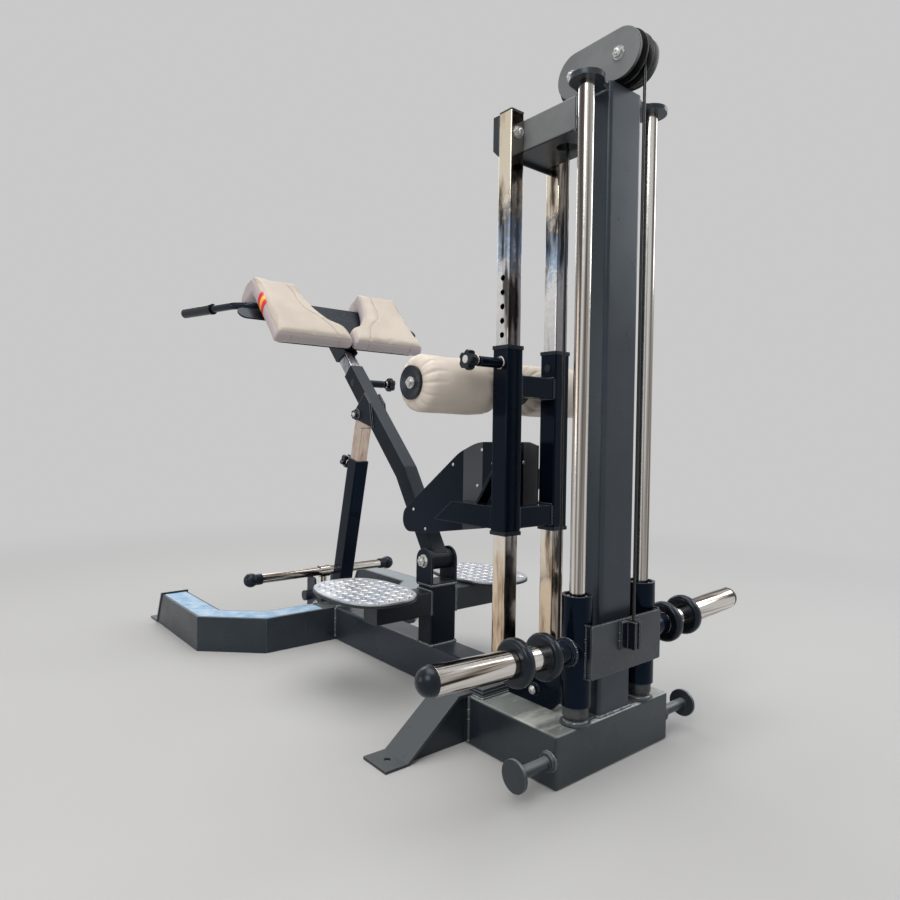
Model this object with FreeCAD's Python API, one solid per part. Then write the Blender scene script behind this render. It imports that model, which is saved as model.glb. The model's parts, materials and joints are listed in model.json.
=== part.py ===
import FreeCAD, Part
import math
import os

from FreeCAD import Vector

os.makedirs("parts", exist_ok=True)

# A plate loaded hyperextension machine. Sizes are in millimetres, angles in degrees.
# X runs to the right, Y forward from the rear face of the base box, Z up from the floor.

# Fits
play = 0.3
running = 0.05
overrun = 2.0
joined = 0.001

# Base box, main beam and post
base_width = 350.0
base_depth = 330.0
base_height = 100.0
base_wall = 4.0
base_round = 5.0
beam_width = 80.0
beam_length = 690.0
beam_round = 6.0
post_setback = 209.0
post_depth = 58.0
post_height = 152.0
post_wall = 4.0
post_round = 5.0

# Front hoop
hoop_width = 80.0
hoop_wall = 4.0
hoop_rear_half = 265.0
hoop_half = 415.0
hoop_splay = 140.0
hoop_leg_end = 470.0
hoop_end_slant = 49.0
hoop_plate = 6.0
hoop_plate_lip = 6.0
hoop_plate_side = 3.0
hoop_tab = 60.0
grip_thickness = 1.0
grip_margin = 7.0
grip_inner_half = 82.0

# Outriggers
outrigger_rear = 238.0
outrigger_width = 78.0
outrigger_plate = 6.0
outrigger_toe_inner = 23.0
outrigger_toe_outer = 30.0
outrigger_lip = 25.0
outrigger_overlap = 8.0
outrigger_web_inset = 16.0
anchor_half_spacing = 350.0
anchor_hole_radius = 7.0

# Band pegs
peg_setback = 18.0
peg_radius = 11.0
peg_reach = 90.0
peg_disc_radius = 29.0
peg_disc = 6.0
peg_collar_radius = 17.0
peg_collar = 8.0

# Mast and top beam
mast_width = 100.0
mast_depth = 80.0
mast_setback = 6.0
mast_height = 1206.0
mast_wall = 4.0
mast_round = 8.0
mast_cap = 5.0
top_beam_width = 110.0
top_beam_height = 67.0
top_beam_wall = 4.0
top_beam_round = 4.0
cable_hole_radius = 24.0

# Guide rods
rod_half_spacing = 100.0
rod_setback = 21.0
rod_radius = 15.0
rod_drop = 16.0
ear_thickness = 10.0
ear_radius = 33.0
ear_neck_rear = 10.0
ear_neck_front = 62.0
ear_hollow = 16.0
foot_ear_thickness = 4.0
foot_ear_radius = 29.0
foot_collar_radius = 20.0
foot_collar = 10.0
bumper_radius = 24.5
bumper_height = 21.7
bumper_round = 3.0

# Uprights
upright_side = 38.0
upright_wall = 3.0
upright_round = 3.0
upright_gap = 111.0
upright_distance = 137.6
upright_overtop = 14.0
upright_cap = 4.0
upright_hole_radius = 6.5
upright_hole_pitch = 30.0
upright_holes_below = 2
upright_holes_above = 6
base_bar_layer = 6.0
base_bar_layers = 3
base_bar_rear_margin = 16.6
base_bar_front_margin = 2.4
base_bar_step = 1.5
base_bolt_inset = 30.0
cap_plate = 17.0
cap_plate_height = 85.0
cap_plate_chamfer = 14.0
upright_bolt_radius = 6.0
upright_bolt_drop = 33.0

# Cable and pulleys
cable_radius = 3.0
cable_turn = 37.0
pulley_radius = 50.0
pulley_width = 22.0
pulley_web = 12.0
pulley_hub_radius = 14.0
pulley_rim_inner = 29.0
groove_mouth = 8.0
groove_clear = 0.5
axle_radius = 6.0
pulley_plate = 6.0
pulley_gap = 48.0
top_plate_radius = 47.0
top_rear_axle = 3.0
top_front_axle = 115.0
top_axle_rise = 54.0
top_foot_rear = 20.0
top_foot_front = 130.0
front_axle_reach = 32.0
front_gap = 78.0
front_plate = 7.0
front_plate_low = 42.0
front_plate_top = 112.0
front_post_depth = 50.0
front_post_round = 12.0
front_spacer_radius = 16.5
front_spacer_reach = 20.0
front_spacer_drop = 60.0
pocket_clear = 5.0

# Lower pulley guard
guard_outer = 188.0
guard_plate = 6.0
guard_rear = 66.0
guard_front_gap = 2.0
guard_height = 85.0
guard_corner = 20.0
guard_round = 12.0
guard_tie_radius = 6.0
guard_tie_y = 130.0
guard_tie_rise = 29.0
lower_bracket_depth = 34.0
lower_bracket_round = 14.0
lower_bracket_low = 30.0
lower_bracket_high = 35.0

# Weight carriage
sleeve_radius = 29.0
sleeve_wall = 5.0
sleeve_height = 207.0
bush_length = 40.0
bush_inset = 6.0
carriage_plate = 6.0
carriage_plate_gap = 8.0
carriage_plate_half = 108.0
carriage_plate_low = 57.0
carriage_plate_height = 98.0
carriage_plate_round = 4.0
clamp_low = 42.0
clamp_height = 52.0
clamp_leg = 6.0
clamp_flange = 24.0
clamp_overhang = 8.0
horn_radius = 25.0
horn_tilt = 3.0
horn_height = 102.0
horn_root_radius = 22.5
horn_root = 179.0
horn_end = 446.0
horn_flange_radius = 26.0
horn_flange = 8.0
horn_ring_radius = 43.0
horn_ring = 22.0
horn_ring_round = 9.0
horn_ring_inner = 190.0
horn_ring_outer = 262.0
horn_cap_reach = 26.0
horn_neck = 1.5

# Roller carriage
slider_side = 46.0
slider_wall = 3.0
slider_round = 4.0
slider_height = 387.0
slider_rise = 333.0
collar = 8.0
collar_side = 49.0
collar_skirt = 20.0
collar_round = 3.0
crossbar_height = 46.0
crossbar_depth = 38.0
crossbar_wall = 3.0
upper_crossbar_rise = 288.0
lower_crossbar_rise = 5.0
guard_arm_height = 48.0
guard_arm_rise = 4.0
guard_arm_length = 196.0
guard_arm_mitre = 65.0
guard_arm_wall = 3.0
side_plate = 5.0
side_plate_length = 392.0
side_plate_height = 242.0
side_plate_drop = 52.0
side_plate_end_round = 30.0
side_plate_round = 140.0
side_plate_back_round = 12.0
brace_thickness = 6.0
brace_width = 30.0
brace_run = 52.0
brace_rise = 76.0
plug_radius = 9.0
plug = 2.0
roller_axle_radius = 12.5
roller_reach = 69.4
roller_bolt_radius = 4.4
roller_bracket_plate = 8.0
roller_bracket_half = 38.0
roller_bracket_radius = 20.0
roller_radius = 60.0
roller_inner = 50.0
roller_outer = 262.0
roller_end_round = 20.0
roller_dish = 3.0
roller_cap_radius = 35.5
roller_cap = 6.0
roller_cap_round = 3.0

# Spring pins and knobs
pin_radius = 6.0
pin_travel_in = 6.0
pin_short = 0.5
pin_barrel_radius = 11.0
pin_barrel_length = 62.0
pin_rise = 357.0
knob_radius = 21.0
knob_length = 30.0
knob_hub = 12.0
knob_lobes = 5
knob_scallop = 9.5
knob_round = 4.0

# Foot plates
foot_bar_half = 205.0
foot_bar_height = 60.0
foot_bar_drop = 13.0
foot_bar_wall = 4.0
foot_centre_x = 190.0
foot_forward = 52.0
foot_half_x = 105.0
foot_half_y = 150.0
foot_power = 2.5
foot_points = 28
foot_rim = 6.0
foot_tread = 4.0
foot_tread_inset = 2.0

# Clevis and pad arm
clevis_half = 42.0
clevis_plate = 6.0
clevis_radius = 32.0
clevis_rise = 61.0
pivot_radius = 8.0
barrel_radius = 25.0
arm_width = 44.0
arm_depth = 50.0
arm_wall = 4.0
arm_round = 4.0
arm_low_angle = 57.5
arm_low_length = 261.5
arm_angle = 46.0
arm_length = 406.0
arm_pin_place = 356.0
arm_pin_barrel = 62.0
saddle_plate = 6.0
saddle_pin_along = 265.0
saddle_pin_below = 45.0
saddle_front = 282.0
saddle_top_rear = 240.0
saddle_rear = 180.0
saddle_proud = 2.0
saddle_nose = 16.0

# Strut
strut_foot_y = 42.0
strut_foot_rise = 25.0
strut_foot_plate = 6.0
strut_foot_radius = 20.0
strut_width = 44.0
strut_depth = 50.0
strut_wall = 4.0
strut_round = 4.0
strut_outer_length = 444.0
strut_outer_below = 15.0
strut_inner_in = 150.0
strut_head_radius = 16.0
strut_head_length = 38.0
strut_hole_pitch = 30.0
strut_holes = 5
strut_pin_drop = 22.0
strut_pin_barrel = 14.0
open_pivot_clear = 1.5

# Pad head
stem_in = 200.0
stem_out = 210.0
stem_hole_pitch = 40.0
stem_holes_out = 3
stem_holes_in = 1
pad_start = 53.0
pad_top = 80.0
pad_thickness = 48.0
pad_half = 262.0
pad_length = 269.0
pad_notch = 90.0
pad_throat = 76.0
pad_split = 5.0
pad_corner = 14.0
pad_swell = 4.0
pad_wrap_low = 118.0
pad_wrap_depth = 46.0
pad_wrap_reach = 15.0
pad_wrap_round = 44.0
pad_wrap_end_round = 20.0
pad_plate = 6.0
pad_plate_length = 218.0
pad_plate_margin = 20.0
pad_channel_half = 23.0
pad_channel_wall = 4.0
pad_channel_slant = 16.0
pad_channel_length = 170.0
pad_bar_half = 318.0
pad_bar_place = 144.0
pad_bar_width = 44.0
pad_bar = 5.0
handle_radius = 11.0
handle_along = 196.0
handle_elbow_x = 300.0
handle_elbow_forward = 38.0
handle_end_x = 362.0
handle_forward = 280.0
handle_bend = 32.0
handle_grip_radius = 15.0
handle_grip_length = 138.0
handle_grip_round = 4.0
handle_ring_radius = 16.5
handle_ring = 10.0

# Pull bar
bar_half = 250.0
bar_radius = 14.0
bar_rise = 96.0
ball_radius = 21.5
ball_neck = 12.0
swivel_half = 17.0
swivel_wall = 5.0
swivel_shank = 9.0
swivel_length = 34.0

# Bolt heads, washers and nuts as shares of the bolt's radius
head_share = 1.7
head_height_share = 1.1
washer_share = 2.1
washer_height_share = 0.3

# Outline of a guard side plate as shares of its length and height
side_plate_shares = [
    (0.0, 0.967),
    (0.072, 1.0),
    (0.24, 0.996),
    (0.41, 0.888),
    (0.98, 0.232),
    (1.0, 0.0),
    (0.72, 0.035),
    (0.0, 0.233),
]

# The hip pad's inner edge as shares of its notch width and of its length above the throat
pad_curve_shares = [(0.86, 0.72), (0.64, 0.38), (0.34, 0.16)]

# Each section of a pad as shares of its thickness and of its swell
pad_section_shares = [(0.0, 2.0), (0.12, 0.6), (0.45, 0.0), (0.8, 0.7), (0.9, 1.6), (0.97, 3.6), (1.0, 9.0)]

# Sections of a pad's rolled end, as shares of its width and of its swell
pad_roll_shares = [(0.02, 2.0), (0.08, 0.0), (0.94, 0.0), (1.0, 1.6)]

# Places worked out from the sizes above
beam_front = base_depth + beam_length
hoop_front = beam_front + hoop_width
hoop_leg_front = beam_front + hoop_leg_end
outrigger_foot_in = anchor_half_spacing - outrigger_toe_inner
outrigger_foot_out = anchor_half_spacing + outrigger_toe_outer
outrigger_lip_out = base_width / 2 + outrigger_lip
mast_top = base_height + mast_height
beam_drop_y = top_front_axle + cable_turn
lower_axle_y = beam_drop_y + cable_turn
cable_height = base_height / 2
lower_axle_z = cable_height + cable_turn
top_axle_z = mast_top + top_axle_rise
front_axle_y = hoop_front + front_axle_reach
riser_y = front_axle_y + cable_turn
bar_z = lower_axle_z + bar_rise
rod_top = mast_top - rod_drop
upright_x = (upright_gap + upright_side) / 2
upright_y = mast_setback + mast_depth + upright_distance + upright_side / 2
base_bar_rear = upright_y - upright_side / 2 - base_bar_rear_margin
base_bar_half = base_width / 2 - outrigger_overlap - play
base_bar_front = upright_y + upright_side / 2 + base_bar_front_margin
upright_bottom = base_height + base_bar_layer * base_bar_layers
upright_top = mast_top + upright_overtop
slider_bottom = base_height + slider_rise
pin_z = base_height + slider_rise + pin_rise
post_y = base_depth + post_setback + post_depth / 2
post_top = base_height + post_height
pivot_y = post_y + (clevis_radius * 2 - post_depth) / 2
pivot_z = post_top + clevis_rise
carriage_bottom = base_height + foot_ear_thickness + foot_collar + bumper_height + play
frame_rear = top_rear_axle - pulley_radius
frame_front = hoop_leg_front + hoop_end_slant + hoop_plate + hoop_tab
frame_middle = (frame_rear + frame_front) / 2


def around(middle, width):
    return (middle - width / 2, middle + width / 2)


def grown(span, amount):
    return (span[0] - amount, span[1] + amount)


def block(xs, ys, zs):
    corner = Vector(xs[0], ys[0], zs[0])
    return Part.makeBox(xs[1] - xs[0], ys[1] - ys[0], zs[1] - zs[0], corner)


def point(axis, along, first, second):
    # A place given along an axis and by the two coordinates across it
    places = {"X": (along, first, second), "Y": (first, along, second), "Z": (first, second, along)}
    return Vector(*places[axis])


def round_bar(axis, span, first, second, radius):
    direction = point(axis, 1, 0, 0)
    return Part.makeCylinder(radius, span[1] - span[0], point(axis, span[0], first, second), direction)


def rounded(shape, axis, radius):
    # Rounds every straight edge that runs along the axis
    direction = point(axis, 1, 0, 0)
    edges = [edge for edge in shape.Edges if runs_along(edge, direction)]
    return shape.makeFillet(radius, edges)


def runs_along(edge, direction):
    if edge.Curve.TypeId != "Part::GeomLine":
        return False
    return edge.tangentAt(edge.FirstParameter).cross(direction).Length < joined


def bar(axis, xs, ys, zs, radius):
    return rounded(block(xs, ys, zs), axis, radius)


def hollow_bar(axis, xs, ys, zs, wall, radius):
    spans = {"X": xs, "Y": ys, "Z": zs}
    inner = {name: grown(span, overrun if name == axis else -wall) for name, span in spans.items()}
    return bar(axis, xs, ys, zs, radius).cut(block(inner["X"], inner["Y"], inner["Z"]))


def path_edges(points, radii, closed=False):
    # Straight runs joined by tangent arcs; a corner of radius zero stays sharp
    starts = list(points)
    ends = list(points)
    arcs = {}
    for i, radius in enumerate(radii):
        if radius:
            before = (points[i - 1] - points[i]).normalize()
            after = (points[(i + 1) % len(points)] - points[i]).normalize()
            half = before.getAngle(after) / 2
            inward = (before + after).normalize()
            starts[i] = points[i] + before * (radius / math.tan(half))
            ends[i] = points[i] + after * (radius / math.tan(half))
            crown = points[i] + inward * (radius / math.sin(half) - radius)
            arcs[i] = Part.Arc(starts[i], crown, ends[i]).toShape()
    edges = []
    for i in range(len(points)):
        following = (i + 1) % len(points)
        if i in arcs:
            edges.append(arcs[i])
        if following or closed:
            edges.append(Part.makeLine(ends[i], starts[following]))
    return edges


def outline(axis, place, points, radii=None):
    corners = [point(axis, place, first, second) for first, second in points]
    return Part.Wire(path_edges(corners, radii or [0] * len(points), closed=True))


def plate(axis, span, points, radii=None):
    # An outline in the plane across the axis, with rounded corners, given a thickness
    face = Part.Face(outline(axis, span[0], points, radii))
    return face.extrude(point(axis, span[1] - span[0], 0, 0))


def turned(points, radii=None):
    # A profile of places along X and radii, turned about the X axis
    face = Part.Face(outline("Y", 0, points, radii))
    return face.revolve(Vector(0, 0, 0), Vector(1, 0, 0), 360)


def tube_along(path, radius, start, direction):
    section = Part.Wire(Part.Edge(Part.Circle(start, direction, radius)))
    return Part.Wire(path).makePipeShell([section], True, False)


def moved(shape, x, y, z):
    copy = shape.copy()
    copy.translate(Vector(x, y, z))
    return copy


def sloped(shape, y, z, angle):
    # The shape's own Y axis is tipped up by the angle, and its origin goes to the place
    copy = shape.copy()
    copy.rotate(Vector(0, 0, 0), Vector(1, 0, 0), angle)
    return moved(copy, 0, y, z)


def mirrored(shape):
    return shape.mirror(Vector(0, 0, 0), Vector(1, 0, 0))


def pair(shape):
    return [shape, mirrored(shape)]


def fused(shapes):
    whole = shapes[0].multiFuse(shapes[1:])
    return whole.removeSplitter()


def offset_corners(corners, distance):
    # Moves each edge of a closed outline inward by the distance, for corners listed anticlockwise
    moved_corners = []
    for i, corner in enumerate(corners):
        before = unit(corners[i - 1], corner)
        after = unit(corner, corners[(i + 1) % len(corners)])
        mitre = 1 + before[0] * after[0] + before[1] * after[1]
        across = (-(before[1] + after[1]) * distance / mitre, (before[0] + after[0]) * distance / mitre)
        moved_corners.append((corner[0] + across[0], corner[1] + across[1]))
    return moved_corners


def unit(start, end):
    length = math.hypot(end[0] - start[0], end[1] - start[1])
    return ((end[0] - start[0]) / length, (end[1] - start[1]) / length)


def hexagon(span, y, z, radius):
    points = []
    for corner in range(6):
        turn = math.radians(60 * corner)
        points.append((y + radius * math.cos(turn), z + radius * math.sin(turn)))
    return plate("X", span, points)


def bolt_head(x, side, y, z, radius):
    # Washer and hexagon outside a face at x, on the given side
    washer = radius * washer_height_share
    head = radius * head_height_share
    washer_span = sorted((x, x + side * washer))
    head_span = sorted((x + side * washer, x + side * (washer + head)))
    return [
        round_bar("X", washer_span, y, z, radius * washer_share),
        hexagon(head_span, y, z, radius * head_share),
    ]


def cross_bolt(half, y, z, radius):
    # A bolt along X with a head on one side and a nut on the other
    shaft = round_bar("X", (-half, half), y, z, radius)
    return fused([shaft] + bolt_head(-half, -1, y, z, radius) + bolt_head(half, 1, y, z, radius))


def standing_bolt(x, y, z, radius):
    # A bolt head on a level face, turned up from the head of a cross bolt
    head = fused(bolt_head(0, 1, 0, 0, radius))
    head.rotate(Vector(0, 0, 0), Vector(0, 1, 0), -90)
    return moved(head, x, y, z)


def link_plate(span, rear, front):
    # A plate round two circles, each given as (y, z, radius)
    ends = [round_bar("X", span, y, z, radius) for y, z, radius in (rear, front)]
    distance = math.hypot(front[0] - rear[0], front[1] - rear[1])
    heading = math.atan2(front[1] - rear[1], front[0] - rear[0])
    lean = math.acos((rear[2] - front[2]) / distance)
    corners = []
    for circle, side in ((rear, 1), (front, 1), (front, -1), (rear, -1)):
        turn = heading + side * lean
        corners.append((circle[0] + circle[2] * math.cos(turn), circle[1] + circle[2] * math.sin(turn)))
    return fused(ends + [plate("X", span, corners)])


def save(node, shapes):
    solids = [solid for shape in shapes for solid in moved(shape, 0, -frame_middle, 0).Solids]
    whole = solids[0] if len(solids) == 1 else Part.makeCompound(solids)
    whole.exportStep("parts/" + node + ".step")


def base_box():
    outer = block(around(0, base_width), (0, base_depth), (0, base_height))
    outer = outer.makeFillet(base_round, outer.Edges)
    inner = block(around(0, base_width - 2 * base_wall), (base_wall, base_depth - base_wall),
                  (base_wall, base_height - base_wall))
    slot_half = pulley_gap / 2 + pulley_plate
    slot = block((-slot_half, slot_half), grown((lower_axle_y, lower_axle_y), pulley_radius + overrun),
                 (base_height - base_wall - overrun, base_height + overrun))
    cable_exit = round_bar("Y", (base_depth - base_wall - overrun, base_depth + overrun), 0, cable_height,
                           cable_turn / 3)
    return [outer.cut(inner).cut(slot).cut(cable_exit)]


def main_beam():
    return [hollow_bar("Y", around(0, beam_width), (base_depth, beam_front), (0, base_height),
                       base_wall, beam_round)]


def hoop_corners(inset):
    # The hoop's plan, drawn in from the outer edge by the inset, from the left leg round to the right
    rear = beam_front
    side = rear + hoop_splay
    far = hoop_leg_front + hoop_end_slant + overrun
    right = [(hoop_half, far), (hoop_half, side), (hoop_rear_half, rear)]
    left = [(-x, y) for x, y in reversed(right)]
    shifted = offset_corners(right + left, -inset)
    shifted[0] = (shifted[0][0], far)
    shifted[-1] = (shifted[-1][0], far)
    return shifted


def hoop_members(outer_inset, inner_inset, zs):
    # The hoop's straight stretches between two insets, mitred where they meet
    outer = hoop_corners(outer_inset)
    inner = hoop_corners(inner_inset)
    members = []
    for i in range(len(outer) - 1):
        members.append(plate("Z", zs, [outer[i], outer[i + 1], inner[i + 1], inner[i]]))
    return members


def hoop_end_cut():
    # The wedge in front of the legs' slanted ends
    far = hoop_leg_front + hoop_end_slant + 2 * overrun
    return plate("X", around(0, 2 * hoop_half + overrun),
                 [(hoop_leg_front, base_height), (hoop_leg_front + hoop_end_slant, 0),
                  (hoop_leg_front + hoop_end_slant, -overrun), (far, -overrun),
                  (far, base_height + overrun), (hoop_leg_front, base_height + overrun)])


def front_hoop():
    # Five tubes of one section, welded end to end
    hollow = fused(hoop_members(hoop_wall, hoop_width - hoop_wall, (hoop_wall, base_height - hoop_wall)))
    pocket = block(around(0, pulley_width + 2 * pocket_clear),
                   (front_axle_y - pulley_radius - pocket_clear, hoop_front + overrun),
                   (lower_axle_z - pulley_radius - pocket_clear, base_height + overrun))
    cable_way = round_bar("Y", (beam_front - overrun, hoop_front + overrun), 0, cable_height, cable_turn / 3)
    tubes = []
    for member in hoop_members(0, hoop_width, (0, base_height)):
        for cut in (hollow, hoop_end_cut(), pocket, cable_way):
            member = member.cut(cut)
        tubes.append(member)
    return tubes


def hoop_end_plates():
    # A slanted plate on each leg's end, with a lip above and a tab on the floor
    slope = math.atan2(base_height, hoop_end_slant)
    slant = hoop_plate / math.sin(slope)
    foot = hoop_leg_front + hoop_end_slant
    lip_y = hoop_leg_front - hoop_plate_lip / math.tan(slope)
    tab_y = foot + hoop_plate + hoop_tab
    knee = foot + slant - hoop_plate / math.tan(slope)
    profile = [(lip_y, base_height + hoop_plate_lip), (foot, 0), (tab_y, 0), (tab_y, hoop_plate),
               (knee, hoop_plate), (lip_y + slant, base_height + hoop_plate_lip)]
    inner = hoop_half - hoop_width - hoop_plate_side
    return pair(plate("X", (inner, hoop_half + hoop_plate_side), profile))


def grip_strips():
    # A thin strip of grip tape on each half of the hoop's top
    zs = (base_height, base_height + grip_thickness)
    rear = beam_front
    front = hoop_leg_front - grip_margin
    keep = block((grip_inner_half, hoop_half), (rear, front), grown(zs, overrun))
    strips = [member.common(keep) for member in hoop_members(grip_margin, hoop_width - grip_margin, zs)]
    return [solid for strip in strips if strip.Solids for solid in pair(strip)]


def outriggers():
    foot_ys = (outrigger_rear, outrigger_rear + outrigger_width)
    inner = base_width / 2 - outrigger_overlap
    top = base_height + outrigger_plate
    slope = math.atan2(base_height, outrigger_foot_in - outrigger_lip_out)
    shift = outrigger_plate * math.tan(slope / 2)
    profile = [(inner, base_height), (outrigger_lip_out, base_height), (outrigger_foot_in, 0),
               (outrigger_foot_out, 0), (outrigger_foot_out, outrigger_plate),
               (outrigger_foot_in + shift, outrigger_plate), (outrigger_lip_out + shift, top), (inner, top)]
    strap = plate("Y", foot_ys, profile)
    hole_y = sum(foot_ys) / 2
    strap = strap.cut(round_bar("Z", (-overrun, outrigger_plate + overrun), anchor_half_spacing, hole_y,
                                anchor_hole_radius))
    web_profile = [(base_width / 2, 0), (outrigger_foot_in, 0), (outrigger_lip_out, base_height),
                   (base_width / 2, base_height)]
    webs = []
    for middle in (foot_ys[0] + outrigger_web_inset, foot_ys[1] - outrigger_web_inset):
        webs.append(plate("Y", around(middle, outrigger_plate), web_profile))
    return pair(fused([strap] + webs))


def band_pegs():
    side = base_width / 2
    end = side + peg_reach
    height = base_height / 2
    rod = round_bar("X", (side, end), peg_setback, height, peg_radius)
    disc = round_bar("X", (end - peg_disc, end), peg_setback, height, peg_disc_radius)
    root = round_bar("X", (side, side + peg_collar), peg_setback, height, peg_collar_radius)
    return pair(fused([rod, disc, root]))


def mast():
    ys = (mast_setback, mast_setback + mast_depth)
    tube = hollow_bar("Z", around(0, mast_width), ys, (base_height, mast_top), mast_wall, mast_round)
    cap = block(around(0, mast_width - 2 * mast_wall), grown(ys, -mast_wall), (mast_top - mast_cap, mast_top))
    return [fused([tube, cap])]


def top_beam():
    ys = (mast_setback + mast_depth, upright_y + upright_side / 2)
    beam = hollow_bar("Y", around(0, top_beam_width), ys, (mast_top - top_beam_height, mast_top),
                      top_beam_wall, top_beam_round)
    hole = round_bar("Z", (mast_top - top_beam_height - overrun, mast_top + overrun), 0, beam_drop_y,
                     cable_hole_radius)
    return [beam.cut(hole)]


def guide_rods():
    zs = (base_height + foot_ear_thickness, rod_top)
    return pair(round_bar("Z", zs, rod_half_spacing, rod_setback, rod_radius))


def rod_ears():
    # The plates that hold the rods at the top, and those with a collar on the base box
    mast_side = mast_width / 2
    top_zs = (rod_top, rod_top + ear_thickness)
    neck = plate("Z", top_zs, [(mast_side, ear_neck_rear), (rod_half_spacing, ear_neck_rear),
                               (rod_half_spacing, rod_setback + ear_radius), (mast_side, ear_neck_front)])
    top_ear = fused([neck, round_bar("Z", top_zs, rod_half_spacing, rod_setback, ear_radius)])
    top_ear = top_ear.makeFillet(ear_hollow, [edge for edge in top_ear.Edges if in_ear_corner(edge)])
    foot_zs = (base_height, base_height + foot_ear_thickness)
    foot_neck = plate("Z", foot_zs, [(mast_side, ear_neck_rear),
                                     (rod_half_spacing, rod_setback - foot_ear_radius / 2),
                                     (rod_half_spacing, rod_setback + foot_ear_radius),
                                     (mast_side, ear_neck_front)])
    foot_disc = round_bar("Z", foot_zs, rod_half_spacing, rod_setback, foot_ear_radius)
    collar_zs = (foot_zs[1], foot_zs[1] + foot_collar)
    ring = round_bar("Z", collar_zs, rod_half_spacing, rod_setback, foot_collar_radius)
    ring = ring.cut(round_bar("Z", grown(collar_zs, overrun), rod_half_spacing, rod_setback, rod_radius))
    foot_ear = fused([foot_neck, foot_disc]).fuse(ring)
    return pair(top_ear) + pair(foot_ear)


def in_ear_corner(edge):
    # The upright edge where the ear's rear side meets its round end
    start = edge.Vertexes[0].Point
    away = start.x > mast_width / 2 + joined and abs(start.y - ear_neck_rear) < joined
    return away and runs_along(edge, Vector(0, 0, 1))


def rod_bumpers():
    low = foot_ear_thickness + foot_collar + base_height
    ring = round_bar("Z", (low, low + bumper_height), rod_half_spacing, rod_setback, bumper_radius)
    outer_rims = [edge for edge in ring.Edges if edge.Curve.TypeId == "Part::GeomCircle"]
    ring = ring.makeFillet(bumper_round, outer_rims)
    return pair(ring.cut(round_bar("Z", (low - overrun, low + bumper_height + overrun),
                                   rod_half_spacing, rod_setback, rod_radius)))


def uprights():
    tube = hollow_bar("Z", around(upright_x, upright_side), around(upright_y, upright_side),
                      (upright_bottom, upright_top - upright_cap), upright_wall, upright_round)
    outer = upright_x + upright_side / 2
    for step in range(-upright_holes_below, upright_holes_above + 1):
        tube = tube.cut(round_bar("X", (outer - upright_wall - overrun, outer + overrun), upright_y,
                                  pin_z + step * upright_hole_pitch, upright_hole_radius))
    bolt_z = mast_top - upright_bolt_drop
    tube = tube.cut(round_bar("Y", grown(around(upright_y, upright_side), overrun), upright_x, bolt_z,
                              upright_bolt_radius))
    return pair(tube)


def upright_base_bar():
    layers = []
    for layer in range(base_bar_layers):
        inset = layer * base_bar_step
        low = base_height + layer * base_bar_layer
        layers.append(block(around(0, 2 * (base_bar_half - inset)),
                            (base_bar_rear + inset, base_bar_front),
                            (low, low + base_bar_layer)))
    notch = block(around(0, pulley_width + 2 * pocket_clear),
                  (base_bar_rear - overrun, lower_axle_y + pulley_radius + pocket_clear),
                  (base_height - overrun, upright_bottom + overrun))
    return [fused(layers).cut(notch)]


def upright_cap_plate():
    # The plate across the front of the uprights, and the caps that close their tops
    rear = upright_y + upright_side / 2
    top = mast_top + upright_overtop - upright_cap
    low = top - cap_plate_height
    profile = [(rear, low), (rear + cap_plate - cap_plate_chamfer, low),
               (rear + cap_plate, low + cap_plate_chamfer), (rear + cap_plate, top), (rear, top)]
    outer = upright_x + upright_side / 2
    board = plate("X", (-outer, outer), profile)
    for side in (-1, 1):
        board = board.cut(round_bar("Y", (rear - overrun, rear + cap_plate + overrun), side * upright_x,
                                    mast_top - upright_bolt_drop, upright_bolt_radius))
    cap = bar("Z", around(upright_x, upright_side), around(upright_y, upright_side),
              (upright_top - upright_cap, upright_top), upright_round)
    return [board] + pair(cap)


def upright_bolts():
    rear = upright_y - upright_side / 2
    front = upright_y + upright_side / 2 + cap_plate
    half = (front - rear) / 2
    bolt = cross_bolt(half, 0, 0, upright_bolt_radius)
    bolt.rotate(Vector(0, 0, 0), Vector(0, 0, 1), 90)
    bolt = moved(bolt, upright_x, (front + rear) / 2, mast_top - upright_bolt_drop)
    stud = standing_bolt(base_width / 2 - base_bolt_inset, (base_bar_rear + base_bar_front) / 2,
                         upright_bottom, upright_bolt_radius)
    return pair(bolt) + pair(stud)


def top_pulley_plates():
    xs = (pulley_gap / 2, pulley_gap / 2 + pulley_plate)
    cheek = link_plate(xs, (top_rear_axle, top_axle_z, top_plate_radius),
                       (top_front_axle - pulley_plate, top_axle_z, top_plate_radius - pulley_plate / 3))
    foot = block(xs, (top_foot_rear, top_foot_front), (mast_top, top_axle_z))
    cheek = fused([cheek, foot])
    for y in (top_rear_axle, top_front_axle):
        cheek = cheek.cut(round_bar("X", grown(xs, overrun), y, top_axle_z, axle_radius))
    return pair(cheek)


def pulley_axles():
    half = pulley_gap / 2 + pulley_plate
    axles = [cross_bolt(half, y, top_axle_z, axle_radius) for y in (top_rear_axle, top_front_axle)]
    axles.append(round_bar("X", (-half, half), lower_axle_y, lower_axle_z, axle_radius))
    axles.append(cross_bolt(front_gap / 2 + front_plate, front_axle_y, lower_axle_z, axle_radius))
    return axles


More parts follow.
